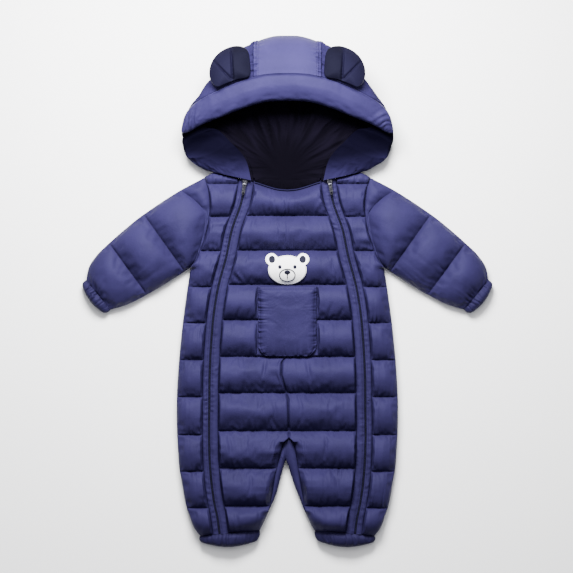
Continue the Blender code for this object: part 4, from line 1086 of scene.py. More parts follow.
def sleeve_rings(sign):
    """Outer and inner rings of a sleeve with its top settled, and its two lower stitched lines."""
    q = 0.5 - 0.5 * np.cos(np.pi * np.linspace(0.0, 1.0, 58))
    counts = (10, 20, 26, 26)
    channel = np.concatenate([np.full(n, k) for k, n in enumerate(counts)] + [[3]])
    t = np.concatenate([spread(n + 1, 0.04)[:-1] for n in counts] + [[1.0]])
    x, y, z = sleeve_top(sign, q, channel, t)
    top = sew_points(x, y, z)
    top, = settle([top], [stitched(top, channel + t)])
    x, y, z = np.moveaxis(top, -1, 0)
    outer, inner = flat_tube(x, y, z, 8.0, 12.0, 9.0, (14.0, 15.2))
    outer, inner = mirrored(outer, -sign), mirrored(inner, -sign)
    starts = [channel.tolist().index(k) for k in (2, 3)]
    return outer, inner, [outer[k, 3:55] + THREAD_LIFT for k in starts]


def cuff_rings(sign, rows, bow_x, bow_y, seed, pitch):
    """Elastic tube: pleats of uneven width run along it and fade where its edges roll under."""
    at = table(CUFF_COLUMNS, rows)
    r = spread(22, 0.03)[:, None] * (len(rows) - 1)
    q = np.linspace(0.0, 1.0, 120)[None, :]
    row = {name: curve(r) for name, curve in at.items()}
    lift = np.sin(np.pi * q)
    x = mix(row["top_x"], row["low_x"], q) + bow_x * row["bow"] * lift
    y = mix(row["top_y"], row["low_y"], q) + bow_y * row["bow"] * lift
    length = math.dist(rows[0][0:2], rows[0][2:4])
    along = q * length + 1.2 * wave(r * 1.7 + q * 9.0, seed + 3)
    small = wave(along / (pitch * 0.45) + r * 0.3, seed + 1)
    pleats = np.abs(wave(along / pitch, seed)) * 2.6 - 1.2 + 0.7 * small
    edge = np.sqrt(lift)
    z = mix(11.0, row["height"], edge) + pleats * share(lift * 3.0) * 0.95
    shut = share((r - 2.4) / 0.6)
    z = z - shut * 1.2 * edge
    outer, inner = flat_tube(x, y, z, 7.0, 11.0, 8.0, (6.5, 14.5))
    return mirrored(outer, -sign), mirrored(inner, -sign)


# ---- hood -----------------------------------------------------------------------------------------
BRIM_AT = table(BRIM_COLUMNS, BRIM_ROWS)
CROWN_AT = table(CROWN_COLUMNS, CROWN_ROWS, by="x")
HOOD_SIDE_AT = table(SIDE_COLUMNS, SIDE_ROWS)
SKIN = (0.0, 0.0, 0.0, 0.0)
WALL_INSIDE = (HOOD_WALL, HOOD_FLOOR, 0.0, HOOD_WALL)
LINING_BACK = (HOOD_WALL + 4.0, HOOD_FLOOR + 0.4, 3.4, HOOD_WALL + 1.0)
LINING_FACE = (HOOD_WALL + 4.0 + LINING, HOOD_FLOOR + 0.4 + LINING, 4.6, HOOD_WALL + 1.0 + LINING)


def top_rows(layer):
    """Points over the top of a section: many where it is puckered, few in the hidden lining top."""
    return 18 if layer[0] > HOOD_WALL else 56


def floor_rows(layer):
    """Points along a section's floor: many where it shows, as it does in the lining."""
    return 44 if layer[0] > HOOD_WALL else 6


def bowl(edge, edge_z, rim, rim_z, foot, inset, layer):
    """Sections of a bowl, one for each row of points given: a quarter ellipse from the top edge over
    to the rim, another under from the rim to the floor, and straight on along the floor."""
    thick, floor, edge_in, drop = layer
    over, floor_steps = top_rows(layer), floor_rows(layer)
    inward = unit(foot - rim)
    rim_in = rim + inward * thick
    steep = np.maximum(1 - np.linalg.norm(edge - rim, axis=1, keepdims=True) / 24.0, 0.0)
    edge = edge + inward * edge_in * (1 + 1.9 * steep)
    lowered = share((edge_z - 46.0) / 20.0) * 6.0 if edge_in else 0.0
    top = edge_z - drop - lowered
    if thick:
        rim_z = np.minimum(rim_z, (top + floor) / 2 + 2.0)
    a = np.linspace(0.0, np.pi / 2, over)
    first = mix(edge[:, None], rim_in[:, None], np.sin(a)[:, None])
    first_z = mix(rim_z[:, None], top[:, None], np.cos(a))
    b = np.linspace(0.0, np.pi / 2, 12)[1:]
    turn = (inset - min(thick, HOOD_WALL)) * (1 - np.cos(b))[:, None]
    second = rim_in[:, None] + inward[:, None] * turn
    second_z = mix(rim_z[:, None], floor, np.sin(b))
    steps = np.linspace(0.0, 1.0, floor_steps + 1)[1:]
    third = mix(second[:, -1:], foot[:, None], steps[:, None])
    third_z = np.full((len(edge), floor_steps), floor)
    flat = np.concatenate([first, second, third], 1)
    return np.concatenate([flat, np.concatenate([first_z, second_z, third_z], 1)[..., None]], -1)


def crown_sections(x, layer, to_lining=False):
    """Bowl sections over the hood's crown, one for each x."""
    at = {name: curve(np.abs(x)) for name, curve in CROWN_AT.items()}
    edge = np.stack([x, at["edge_y"] + 0.4], 1)
    rim = np.stack([x, at["rim_y"]], 1)
    foot = np.stack([x, np.full(x.shape, NECK_Y)], 1)
    grid = bowl(edge, at["edge_z"], rim, at["rim_z"], foot, 24.0, layer)
    if to_lining:
        grid = end_at(grid, np.broadcast_to(LINING_TOP, foot.shape), floor_rows(layer))
    return grid


def side_sections(row, layer, to_lining=False):
    """Bowl sections down the side of the hood, one for each place in its table of rows."""
    at = {name: curve(row) for name, curve in HOOD_SIDE_AT.items()}
    seam = CROWN_HALF + GAP
    edge = np.stack([np.maximum(at["edge_x"], seam), at["edge_y"] + 0.4], 1)
    rim = np.stack([np.maximum(at["rim_x"], seam), at["rim_y"]], 1)
    foot = np.stack([np.full(row.shape, seam), at["floor_y"]], 1)
    grid = bowl(edge, at["edge_z"], rim, at["rim_z"], foot, 20.0, layer)
    if to_lining:
        grid = end_at(grid, np.stack([0 * row, at["lining_y"]], 1), floor_rows(layer))
    return grid


def end_at(grid, ends, steps):
    """Turns the floor part of bowl sections towards other end points."""
    begin = grid[:, -steps - 1:-steps, :2]
    t = np.linspace(0.0, 1.0, steps + 1)[1:, None]
    grid[:, -steps:, :2] = mix(begin, ends[:, None], t)
    return grid


def lifted(grid, amount):
    """Moves each point along the surface's normal, the cross product of the grid's directions."""
    normal = np.cross(np.gradient(grid, axis=1), np.gradient(grid, axis=0))
    return grid + unit(normal, 1e-9) * np.asarray(amount)[..., None]


def run_along(grid):
    """Distance walked along each row of a grid."""
    steps = np.linalg.norm(np.diff(grid, axis=1), axis=-1)
    return np.concatenate([np.zeros((len(grid), 1)), np.cumsum(steps, 1)], 1)


def crown_grids():
    """Crown strip: even and full, puckered beside the side seams and the brim seam."""
    x = spread(56, 0.05) * 2 * CROWN_HALF - CROWN_HALF
    outer = crown_sections(x, SKIN)
    inner = crown_sections(x, WALL_INSIDE)
    run = run_along(outer)
    from_side = (CROWN_HALF - np.abs(x))[:, None]
    folds = gathers(run + 40.0 * np.sign(x)[:, None], from_side, 510, 8.5, 4.6, 8.0)
    folds = folds + gathers(x[:, None] + 0 * run, run, 520, 1.0, 7.0, 8.0)
    folds = folds + 0.35 * field(x[:, None] / 34.0, run / 40.0, 530) * share(from_side / 12.0)
    sunk = -2.4 * bell(from_side, 1.8) - 1.3 * bell(from_side - 4.6, 1.1) - 1.6 * bell(run, 3.0)
    visible = share((outer[..., 2] - 14.0) / 14.0) * (run < 120.0)
    outer = lifted(outer, (folds * 0.8 + sunk) * visible)
    return outer, inner


def dipped(grid):
    """Presses a grid in where the cheek sinks below the brim's end; nothing goes below the floor."""
    x, y = np.abs(grid[..., 0]), grid[..., 1]
    across, down = (x - 132.0) / 40.0, (y - 236.0 - 0.3 * (132.0 - x)) / 19.0
    depth = 9.0 * share(1 - across ** 2 - down ** 2) ** 1.2
    depth = np.minimum(depth, np.maximum(grid[..., 2] - HOOD_FLOOR, 0.0) * 0.5)
    return np.concatenate([grid[..., :2], (grid[..., 2] - depth)[..., None]], -1)


def hood_side_grids(sign):
    """Hood side: puckered along the crown seam, soft folds on the cheek below the brim's end."""
    row = np.unique(np.concatenate([np.linspace(0, 4, 40), np.linspace(4, 6, 30), np.linspace(6, 13, 70)]))
    outer = side_sections(row, SKIN)
    inner = side_sections(row, WALL_INSIDE)
    run = run_along(outer)
    r = row[:, None]
    seed = 540 + 30 * (sign > 0)
    from_crown = r * 24.0
    folds = gathers(run, from_crown, seed, 8.5, 4.6, 8.0) - 2.4 * bell(from_crown, 1.9)
    folds = folds - 1.2 * bell(from_crown - 4.6, 1.1)
    folds = folds + gathers(r * 22.0, run, seed + 5, 1.6, 7.0, 10.0) * share((5.0 - r) / 0.8)
    cheek = share((r - 5.5) / 1.5)
    folds = folds + cheek * gathers(r * 16.0, run, seed + 9, 1.5, 9.0, 26.0)
    neck = share((r - 11.4) / 1.6)
    folds = folds + neck * gathers(run, (13.0 - r) * 14.0, seed + 13, 1.0, 7.0, 12.0)
    folds = folds + 0.9 * field(r * 1.1, run / 26.0, seed + 17)
    visible = share((outer[..., 2] - 12.0) / 12.0) * (run < run[:, -1:] * 0.6)
    outer = lifted(outer, folds * 0.75 * visible)
    outer, inner = dipped(outer), dipped(inner)
    held = stitched(outer)
    held[:, 58:] = 1
    held[(row > 4.6) & (row < 6.2)] = 1
    settled, = settle([outer], [held])
    settled[..., 2] = np.maximum(settled[..., 2], 0.0)
    return mirrored(settled, sign), mirrored(inner, sign)


def lining_grids():
    """Lining bowl, gathered to the middle of the neck: long soft ridges run down to that point."""
    stops = np.concatenate([np.linspace(0, 4, 50), np.linspace(4, 6, 36)[1:], np.linspace(6, 13, 62)[1:]])

    def whole(layer):
        """Sections from one foot of the hood over the crown to the other."""
        side = side_sections(stops, layer, True)
        crown = crown_sections(np.linspace(-LINING_CROWN_HALF, LINING_CROWN_HALF, 44), layer, True)
        left = side[::-1] * (-1, 1, 1)
        return np.concatenate([left, crown, side])

    back, face = dipped(whole(LINING_BACK)), dipped(whole(LINING_FACE))
    gather_x, gather_y = LINING_GATHER
    aside, ahead = face[..., 0] - gather_x, face[..., 1] - gather_y
    away = np.hypot(aside, ahead)
    angle = np.degrees(np.arctan2(aside + 5.0 * wave(away / 22.0 + 30.0, 609), ahead + 12.0))
    broad = share(1 - 1.7 * np.abs(wave(angle / 9.0 + 60.3, 610))) * share((away - 14.0) / 60.0)
    fine = share(1 - 2 * np.abs(wave(angle / 4.0, 611))) * share((away - 70.0) / 40.0)
    lift = (8.0 * broad + 3.0 * fine) * share((190.0 - away) / 90.0)
    return back + lift[..., None] * (0, 0, 1), face + lift[..., None] * (0, 0, 1)


def brim_rings():
    """Brim roll: a closed section swept round the face opening, wrinkled towards both ends."""
    low_end, high_end = np.linspace(-6, -4.6, 34), np.linspace(4.6, 6, 34)
    place = np.concatenate([low_end, np.linspace(-4.6, 4.6, 110)[1:-1], high_end])
    at = {name: curve(np.abs(place)) for name, curve in BRIM_AT.items()}
    sign = np.where(place < 0, -1.0, 1.0)
    marks = np.array(((0.0, 0.0, 0.0), (0.1, 0.45, 0.0), (0.3, 0.95, 0.0), (0.52, 1.3, 0.0),
                      (0.76, 1.15, 0.0), (0.95, 0.4, 0.1), (0.96, 0.0, 0.8), (0.8, 0.0, 1.0),
                      (0.4, 0.0, 1.0), (0.0, 0.0, 0.9)))
    t, rise, drop = marks.T[:, :, None]
    x = sign * mix(at["seam_x"], at["mouth_x"], t)
    y = mix(at["seam_y"], at["mouth_y"], t)
    z = mix(at["seam_z"], at["mouth_z"], t) + at["crest"] * rise - at["thick"] * drop
    around = 56
    rings = loop_curve(sew_points(x, y, z), around).transpose(1, 0, 2)
    turn = np.arange(around) / around * 10
    on_top = share(turn / 0.6) * share((5.4 - turn) / 1.2)
    p = np.abs(place)[:, None]
    run = place[:, None] * 34.0
    ends = share((p - 3.9) / 0.9) * share((6.15 - p) / 0.3)
    folds = ends * gathers(run + turn * 7.0, np.abs(turn - 2.6) * 6.0, 650, 3.2, 8.0, 24.0)
    folds = folds + gathers(run, turn * 8.0, 660, 2.2, 6.0, 9.0) + 0.5 * field(run / 30.0, turn / 1.6, 670)
    folds = folds + gathers(run, share((5.0 - turn) / 5.0) * 40.0, 665, 1.4, 7.0, 12.0)
    rings = lifted(rings, folds * on_top * 0.8)
    top = rings[:, :31]
    rings[:, :31], = settle([top], [stitched(top)], slack=0.006)
    middle = rings.mean(1, keepdims=True)
    closing = np.sqrt(np.maximum(1 - share((p - 5.3) / 0.7) ** 2, 0.06))[..., None]
    return middle + (rings - middle) * closing


def ear_top(x, y):
    """Height of the sloping plane that an ear is sewn to."""
    return EAR_SEAT - 0.105 * (np.abs(x) - 60.0) - 0.3 * (y - 340.0)


def ear_rings(sign):
    """Stuffed ear: outlines drawn in ring by ring, with two seams sunk into the face."""
    outline = loop_curve(EAR_OUTLINE, 110)
    middle = np.array(EAR_OUTLINE).mean(0)
    under = np.array(((0.2, 0.0), (0.8, 0.0), (0.92, 0.3), (0.98, 1.2), (1.0, 2.6), (0.995, 4.2)))
    s = np.linspace(0.985, 0.03, 36)
    over = np.stack([s, 5.6 + 6.2 * (1 - (s / 0.985) ** 2.6)], 1)
    scale, height = np.concatenate([under, over]).T
    flat = middle + (outline - middle) * scale[:, None, None]
    x, y = flat[..., 0], flat[..., 1]
    face = share((height[:, None] - 5.0) / 2.0)
    upright = np.abs(off_line(x, y, 86.0, 333.0, 89.5, 389.0)[0])
    slanted, along = off_line(x, y, 87.5, 334.0, 117.0, 365.5)
    sunk = -2.6 * bell(upright, 1.7) - 2.4 * bell(slanted, 1.6) * share(along * 6 + 0.4)
    folds = gathers(y, np.abs(x - 60.0), 700 + sign, 0.9, 6.0, 9.0)
    folds = folds + gathers(y, upright, 710 + sign, 0.5, 7.0, 7.0)
    z = ear_top(x, y) + height[:, None] + face * (sunk + folds * 0.8)
    return sew_points(sign * x, y, z)


# ---- pocket, patch and trim -----------------------------------------------------------------------
def pocket_grid():
    """Padded pocket with round lower corners, a stitched hem at the top and gathered sides."""
    v = spread(140, 0.05)[:, None]
    u = np.linspace(-1.0, 1.0, 90)
    u = u + 0.045 * np.sin(2 * np.pi * u * 0.5) * np.abs(u)
    y = mix(POCKET_TOP, POCKET_BOTTOM, v)
    into = np.maximum(POCKET_BOTTOM + POCKET_CORNER - y, 0.0)
    half = POCKET_HALF - POCKET_CORNER + np.sqrt(np.maximum(POCKET_CORNER ** 2 - into ** 2, 0.04))
    narrow = 1.2 * np.sin(np.pi * share(v)) + 0.5 * wave(y / 5.5, 801)
    x = u * (half - narrow - 0.4)
    y = y + 0 * x
    side = (1 - np.abs(u)) * half
    low_side = share((-50.0 - y) / 40.0)
    edge = np.minimum(np.minimum(side * mix(2.2, 1.0, low_side), (POCKET_TOP - y) * 2.4), y - POCKET_BOTTOM)
    body = POCKET_FLOOR + 4.0 + 7.6 * (1 - (1 - share(edge / 24.0)) ** 2.2)
    hemmed = -1.3 * bell(y - (POCKET_TOP - POCKET_HEM), 1.2) * share(side / 4.0)
    inner = share(edge / 2.0)
    below_hem = share((POCKET_TOP - POCKET_HEM - y) / 4.0)
    ticks = gathers(y + 100.0 * (u > 0), side, 810, 4.2, 4.8, 9.0) * below_hem
    ticks = ticks + gathers(x, y - POCKET_BOTTOM, 820, 1.9, 7.0, 15.0)
    ticks = ticks + gathers(x, POCKET_TOP - y, 830, 0.6, 6.0, 8.0) + 0.3 * field(x / 26.0, y / 26.0, 840)
    sunk = -0.9 * bell(side - 3.2, 1.0)
    return sew_points(x, y, body + (hemmed + ticks + sunk) * inner)


def chest_height(y):
    """Height of the chest channel's padding that the patch lies on."""
    t = share((CENTRE_SEAMS[1] - y) / (CENTRE_SEAMS[1] - CENTRE_SEAMS[2]))
    return FRONT_IN + SEAM_RISE + PUFF * sizes().fullness * pillow(t)


def patch_surface(x, y):
    """Top of the patch: its felt on the chest's padding, faintly uneven."""
    return chest_height(y) + 2.6 + 0.25 * field(x / 15.0, y / 15.0, 860)


def patch_rings():
    """Bear-head applique: its outline reaches as far as the head's ellipse or either ear's circle."""
    a = turns(180)
    centre_x, centre_y, wide, tall = BEAR_HEAD
    ear_x, ear_y, radius = BEAR_EAR
    reach = 1 / np.hypot(np.cos(a) / wide, np.sin(a) / tall)
    for side in (-1, 1):
        ex, ey = side * ear_x - centre_x, ear_y - centre_y
        ahead = ex * np.cos(a) + ey * np.sin(a)
        aside = np.abs(ex * np.sin(a) - ey * np.cos(a))
        far = ahead + np.sqrt(np.maximum(radius ** 2 - aside ** 2, 0.0))
        reach = np.where((aside < radius) & (ahead > 0), np.maximum(reach, far), reach)
    scale = np.array((0.02, 0.5, 0.97, 1.0, 1.0, 0.985, 0.96, *np.linspace(0.94, 0.02, 48)))[:, None]
    lift = np.array((-2.0, -2.0, -2.0, -1.7, -0.9, -0.35, -0.1, *np.zeros(48)))[:, None]
    x = centre_x + reach * np.cos(a) * scale
    y = centre_y + reach * np.sin(a) * scale
    return sew_points(x, y, patch_surface(x, y) + lift)


def dome(cx, cy, rx, ry, height):
    """Raised oval of satin stitch that follows the patch."""
    a = turns(40)
    reach = np.linspace(1.0, 0.02, 9)
    s = np.concatenate([[1.0], reach])[:, None]
    lift = np.concatenate([[-0.6], 0.3 + height * (1 - reach ** 2)])[:, None]
    x, y = cx + rx * s * np.cos(a), cy + ry * s * np.sin(a)
    return sew_points(x, y, patch_surface(x, y) + lift)


def sewn_line(path, radius, closed=False):
    """Round cord along a path, one ring of points at each of the path's points."""
    path = np.asarray(path, float)
    tangent = np.roll(path, -1, 0) - np.roll(path, 1, 0) if closed else np.gradient(path, axis=0)
    tangent = unit(tangent)
    side = unit(np.cross(tangent, (0.0, 0.0, 1.0)))
    up = np.cross(side, tangent)
    a = turns(8)[None, :, None]
    rings = path[:, None] + radius * (np.cos(a) * side[:, None] + np.sin(a) * up[:, None])
    return np.concatenate([rings, rings[:1]]) if closed else rings


def on_patch(x, y):
    """Points of a path laid just above the patch."""
    return np.stack([x, y, patch_surface(x, y) + 0.25], 1)


def stitch_mesh(paths, long):
    """Stitches laid end to end along paths: each is a flattened six-sided bead of four rings."""
    points, faces, start = [], [], 0
    a = turns(6)
    rings = np.array(((-0.5, 0.15), (-0.32, 0.9), (0.32, 0.9), (0.5, 0.15)))
    length = np.broadcast_to(rings[:, :1] * long, (4, 6))
    bead = rings[:, 1:] * THREAD_RADIUS
    local = np.stack([length, bead * np.cos(a) * 1.1, bead * np.sin(a) * 0.9], -1).reshape(-1, 3)
    quads = grid_faces((4, 6), 0, True)
    caps = np.array(((0, 5, 4, 3), (0, 3, 2, 1), (18, 19, 20, 21), (18, 21, 22, 23)))
    one = np.concatenate([quads, caps])
    for path in paths:
        path = np.asarray(path, float)
        walked = np.concatenate([[0.0], np.cumsum(np.linalg.norm(np.diff(path, axis=0), axis=1))])
        count = int((walked[-1] - long) / (long + STITCH_GAP))
        if count < 1:
            continue
        at = long / 2 + np.arange(count) * (long + STITCH_GAP)
        centre = np.stack([np.interp(at, walked, path[:, k]) for k in range(3)], 1)
        ahead = np.stack([np.interp(at + 0.6, walked, path[:, k]) for k in range(3)], 1) - centre
        ahead = unit(ahead, 1e-9)
        side = unit(np.cross(ahead, (0.0, 0.0, 1.0)), 1e-9)
        up = np.cross(side, ahead)
        basis = np.stack([ahead, side, up], 1)
        points.append((centre[:, None] + np.einsum("pk,nkc->npc", local, basis)).reshape(-1, 3))
        faces.append((one[None] + start + 24 * np.arange(count)[:, None, None]).reshape(-1, 4))
        start += 24 * count
    return np.concatenate(points), np.concatenate(faces)


def teeth_mesh(sign):
    """Closed zip teeth: small blocks set across the line, turned with it, from both sides by turns."""
    y = np.arange(-386.0, 168.0, 1.45)
    x = zip_line(y)
    slope = (zip_line(y + 1.0) - zip_line(y - 1.0)) / 2.0
    along = unit(np.stack([slope, np.ones_like(slope), 0 * slope], 1))
    across = np.stack([along[:, 1], -along[:, 0], 0 * slope], 1)
    turn = np.where(np.arange(len(y)) % 2 == 0, 0.45, -0.45)
    centre = np.stack([x, y, np.full(y.shape, ZIP_TOP + 0.05)], 1) + across * turn[:, None]
    low = np.array(((-1.15, -0.5), (1.15, -0.5), (1.15, 0.5), (-1.15, 0.5)))
    block = np.concatenate([np.column_stack([low, np.zeros(4)]), np.column_stack([low, np.full(4, 0.7)]),
                            np.column_stack([low * (0.75, 0.55), np.full(4, 1.15)])])
    basis = np.stack([across, along, np.broadcast_to((0.0, 0.0, 1.0), across.shape)], 1)
    points = centre[:, None] + np.einsum("pk,nkc->npc", block, basis)
    one = np.concatenate([grid_faces((3, 4), 0, True), ((0, 3, 2, 1), (8, 9, 10, 11))])
    faces = one[None] + 12 * np.arange(len(y))[:, None, None]
    return mirrored(points, sign).reshape(-1, 3), faces.reshape(-1, 4)


# ---- what a user would change -----------------------------------------------------------------------
class SnowsuitSizes(bpy.types.PropertyGroup):
    """Sizes that alter the cloth and not the solids under it."""
    fullness: bpy.props.FloatProperty(
        name="Fullness", description="How far the padding swells between its seams, as a share",
        default=1.0, min=0.5, max=1.1, subtype="FACTOR")
    gather_depth: bpy.props.FloatProperty(
        name="Gather depth", description="Depth of the small folds beside the stitching",
        default=0.0024, min=0.0, max=0.004, unit="LENGTH")
    stitch: bpy.props.FloatProperty(
        name="Stitch", description="Length of one stitch", default=0.0026, min=0.001, unit="LENGTH")
    floor_size: bpy.props.FloatProperty(
        name="Floor", description="Width of the floor under the suit", default=9.0, min=2.0, unit="LENGTH")


class SnowsuitColours(bpy.types.PropertyGroup):
    """Colours of the cloth and thread."""
    shell: bpy.props.FloatVectorProperty(
        name="Shell", description="Outer nylon", default=(0.0128, 0.0103, 0.037), subtype="COLOR",
        min=0.0, max=1.0)
    lining: bpy.props.FloatVectorProperty(
        name="Lining", description="Lining of hood and neck", default=(0.0022, 0.0016, 0.0042),
        subtype="COLOR", min=0.0, max=1.0)
    piping: bpy.props.FloatVectorProperty(
        name="Piping", description="Binding of the neck edge", default=(0.006, 0.005, 0.018),
        subtype="COLOR", min=0.0, max=1.0)
    patch: bpy.props.FloatVectorProperty(
        name="Patch", description="Applique on the chest", default=(0.85, 0.85, 0.87), subtype="COLOR",
        min=0.0, max=1.0)
    bear_thread: bpy.props.FloatVectorProperty(
        name="Embroidery", description="Thread of the bear's features", default=(0.006, 0.006, 0.014),
        subtype="COLOR", min=0.0, max=1.0)


SIDES = (("left", -1), ("right", 1))


class SNOWSUIT_OT_panels(bpy.types.Operator):
    """Front and side panels: across the suit stands one pillow for each channel, a sine to the power
    0.72 between its two seams, swelling from the sewn sides and rounded off at the open edge."""
    bl_idname = "snowsuit.panels"
    bl_label = "Quilted panels"

    def execute(self, context):
        shell_cloth = material("nylon_shell")
        halves = [centre_grid(sign) for sign in (-1, 1)]
        held = []
        for grid, place in halves:
            x, y = grid[..., 0], grid[..., 1]
            under = (np.abs(x) < POCKET_HALF + 3) & (y < POCKET_TOP + 3) & (y > POCKET_BOTTOM - 2)
            under = under | (np.hypot(x / 37.0, (y - PATCH_MIDDLE_Y) / 28.0) < 1)
            loose = stitched(grid, place)
            loose[:, 0] = (y[:, 0] < CROTCH_Y + 1) | (np.abs(y[:, 0] + 160.0) < 60.0)
            loose[y[:, 0] < GUSSET_END_Y, :5] = 1
            held.append(np.maximum(loose, under))
        piece = patches("front_cloth", settle([grid for grid, _ in halves], held), FRONT_IN, shell_cloth,
                        replaces=("front_panel",))
        for side, sign in SIDES:
            grid, place = side_grid(sign)
            held = stitched(grid, place)
            held[:, -5:] = 1
            piece = patches("side_cloth_" + side, settle([grid], [held]), FRONT_IN, shell_cloth,
                            replaces=("side_panel_" + side,))
        piece = patches("gusset_cloth", [gusset_grid()], FRONT_IN, shell_cloth, replaces=("crotch_gusset",))
        piece = patches("back_cloth", [back_grid(-1), back_grid(1)], BACK_TOP, shell_cloth,
                        replaces=("back_panel",))
        return {"FINISHED"}


class SNOWSUIT_OT_zips(bpy.types.Operator):
    """Bands and zips: flat strips along the zip line, rounded over at both sides by a sine, the
    topstitching a narrow bell-shaped trough; teeth are small blocks from both sides by turns."""
    bl_idname = "snowsuit.zips"
    bl_label = "Zips and their bands"

    def execute(self, context):
        for side, sign in SIDES:
            inner, outer = placket_grids(sign)
            for name, grid, wide in (("placket_inner_", inner, 0.0145), ("placket_outer_", outer, 0.0115)):
                band = patches(name + "cloth_" + side, [grid], FRONT_IN, material("nylon_shell"),
                               replaces=(name + side,))
            tape = patches("zip_tape_" + side, [zip_strip(sign)], FRONT_IN, material("zip_weave"),
                           replaces=("zip_" + side,), slot="zip_tape")
            teeth = put("zip_teeth_" + side, *teeth_mesh(sign), material("zip_weave"), slot="zip_tape")
        return {"FINISHED"}


class SNOWSUIT_OT_sleeves(bpy.types.Operator):
    """Sleeves: a ring from armhole to wrist at each share of the way, its height the square root of a
    sine across, its channels pillows, closed under and hollow."""
    bl_idname = "snowsuit.sleeves"
    bl_label = "Sleeves"

    def execute(self, context):
        for side, sign in SIDES:
            outer, inner, _ = sleeve_rings(sign)
            piece = shell("sleeve_cloth_" + side, outer, inner, material("nylon_shell"), wrap=True,
                          replaces=("sleeve_" + side,))
        return {"FINISHED"}


class SNOWSUIT_OT_cuffs(bpy.types.Operator):
    """Cuffs: flattened rings with pleats, the absolute value of a random wave along the ring."""
    bl_idname = "snowsuit.cuffs"
    bl_label = "Gathered cuffs"

    def execute(self, context):
        for side, sign in SIDES:
            seed = 960 + 10 * (sign > 0)
            wrist = cuff_rings(sign, SLEEVE_CUFF_ROWS, -0.78, -0.62, seed, 5.2)
            piece = shell("wrist_cloth_" + side, *wrist, material("nylon_cuff"), wrap=True,
                          replaces=("sleeve_cuff_" + side,))
            ankle = cuff_rings(sign, LEG_CUFF_ROWS, 0.0, -1.0, seed + 5, 5.6)
            piece = shell("ankle_cloth_" + side, *ankle, material("nylon_cuff"), wrap=True,
                          replaces=("leg_cuff_" + side,))
        return {"FINISHED"}


class SNOWSUIT_OT_hood(bpy.types.Operator):
    """Hood: each section is a quarter ellipse from the brim's seam over to the rim and another under
    to the floor; the lining is the same bowl drawn in, with ridges that run to one point."""
    bl_idname = "snowsuit.hood"
    bl_label = "Hood and lining"

    def execute(self, context):
        outer, inner = crown_grids()
        piece = shell("crown_cloth", outer, inner, material("nylon_crown"), replaces=("hood_crown",))
        for side, sign in SIDES:
            piece = shell("hood_cloth_" + side, *hood_side_grids(sign), material("nylon_cheek"),
                          replaces=("hood_side_" + side,))
        piece = loft("brim_cloth", brim_rings(), material("nylon_brim"), replaces=("hood_brim",))
        back, face = lining_grids()
        piece = shell("lining_cloth", back, face, material("lining_weave"), fan=True,
                      replaces=("hood_lining",), slot="lining_cloth")
        return {"FINISHED"}


class SNOWSUIT_OT_ears(bpy.types.Operator):
    """Ears: the outline drawn in ring by ring, its height falling off with the share of the way out to
    the power 2.6, with two seams sunk in as bells."""
    bl_idname = "snowsuit.ears"
    bl_label = "Ears"

    def execute(self, context):
        for side, sign in SIDES:
            piece = loft("ear_cloth_" + side, ear_rings(sign), material("nylon_ear"),
                         replaces=("ear_" + side,), slot="ear_nylon")
        return {"FINISHED"}


class SNOWSUIT_OT_trim(bpy.types.Operator):
    """Neck binding and facing: strips along the neck edge, half a sine high, and the padded pocket."""
    bl_idname = "snowsuit.trim"
    bl_label = "Neck trim and pocket"

    def execute(self, context):
        x = np.linspace(-NECK_HALF, NECK_HALF, 90)[:, None]
        base = front_neck(np.abs(x)) + GAP
        a = np.linspace(np.pi, 0.0, 12)
        z = 18.5 + 2.1 * np.sin(a) + 0.25 * wave(x / 4.0, 970)
        grid = sew_points(x, base + 3.0 * np.linspace(0.0, 1.0, 12), z)
        piece = patches("binding_cloth", [grid], FRONT_IN + 0.2, material("piping_nylon"),
                        replaces=("neck_binding",), slot="piping_cloth")
        x = np.linspace(-NECK_HALF, NECK_HALF, 200)[:, None]
        t = np.linspace(0.0, 1.0, 12)
        y = mix(front_neck(np.abs(x)) + GAP + 3.2, NECK_Y + 0.5 + 0.08 * np.abs(x), t)
        z = 16.0 + 0.03 * np.abs(x) + (1.2 + 0.6 * wave(x / 1.5, 972)) * np.sin(np.pi * t) ** 0.6
        piece = patches("facing_cloth", [sew_points(x, y, z)], BACK_TOP + 0.4, material("lining_weave"),
                        replaces=("neck_facing",), slot="lining_cloth")
        grid = pocket_grid()
        held = stitched(grid)
        held[:8] = 1
        piece = patches("pocket_cloth", settle([grid], [held], slack=0.004), POCKET_FLOOR,
                        material("nylon_shell"), replaces=("pocket",))
        return {"FINISHED"}


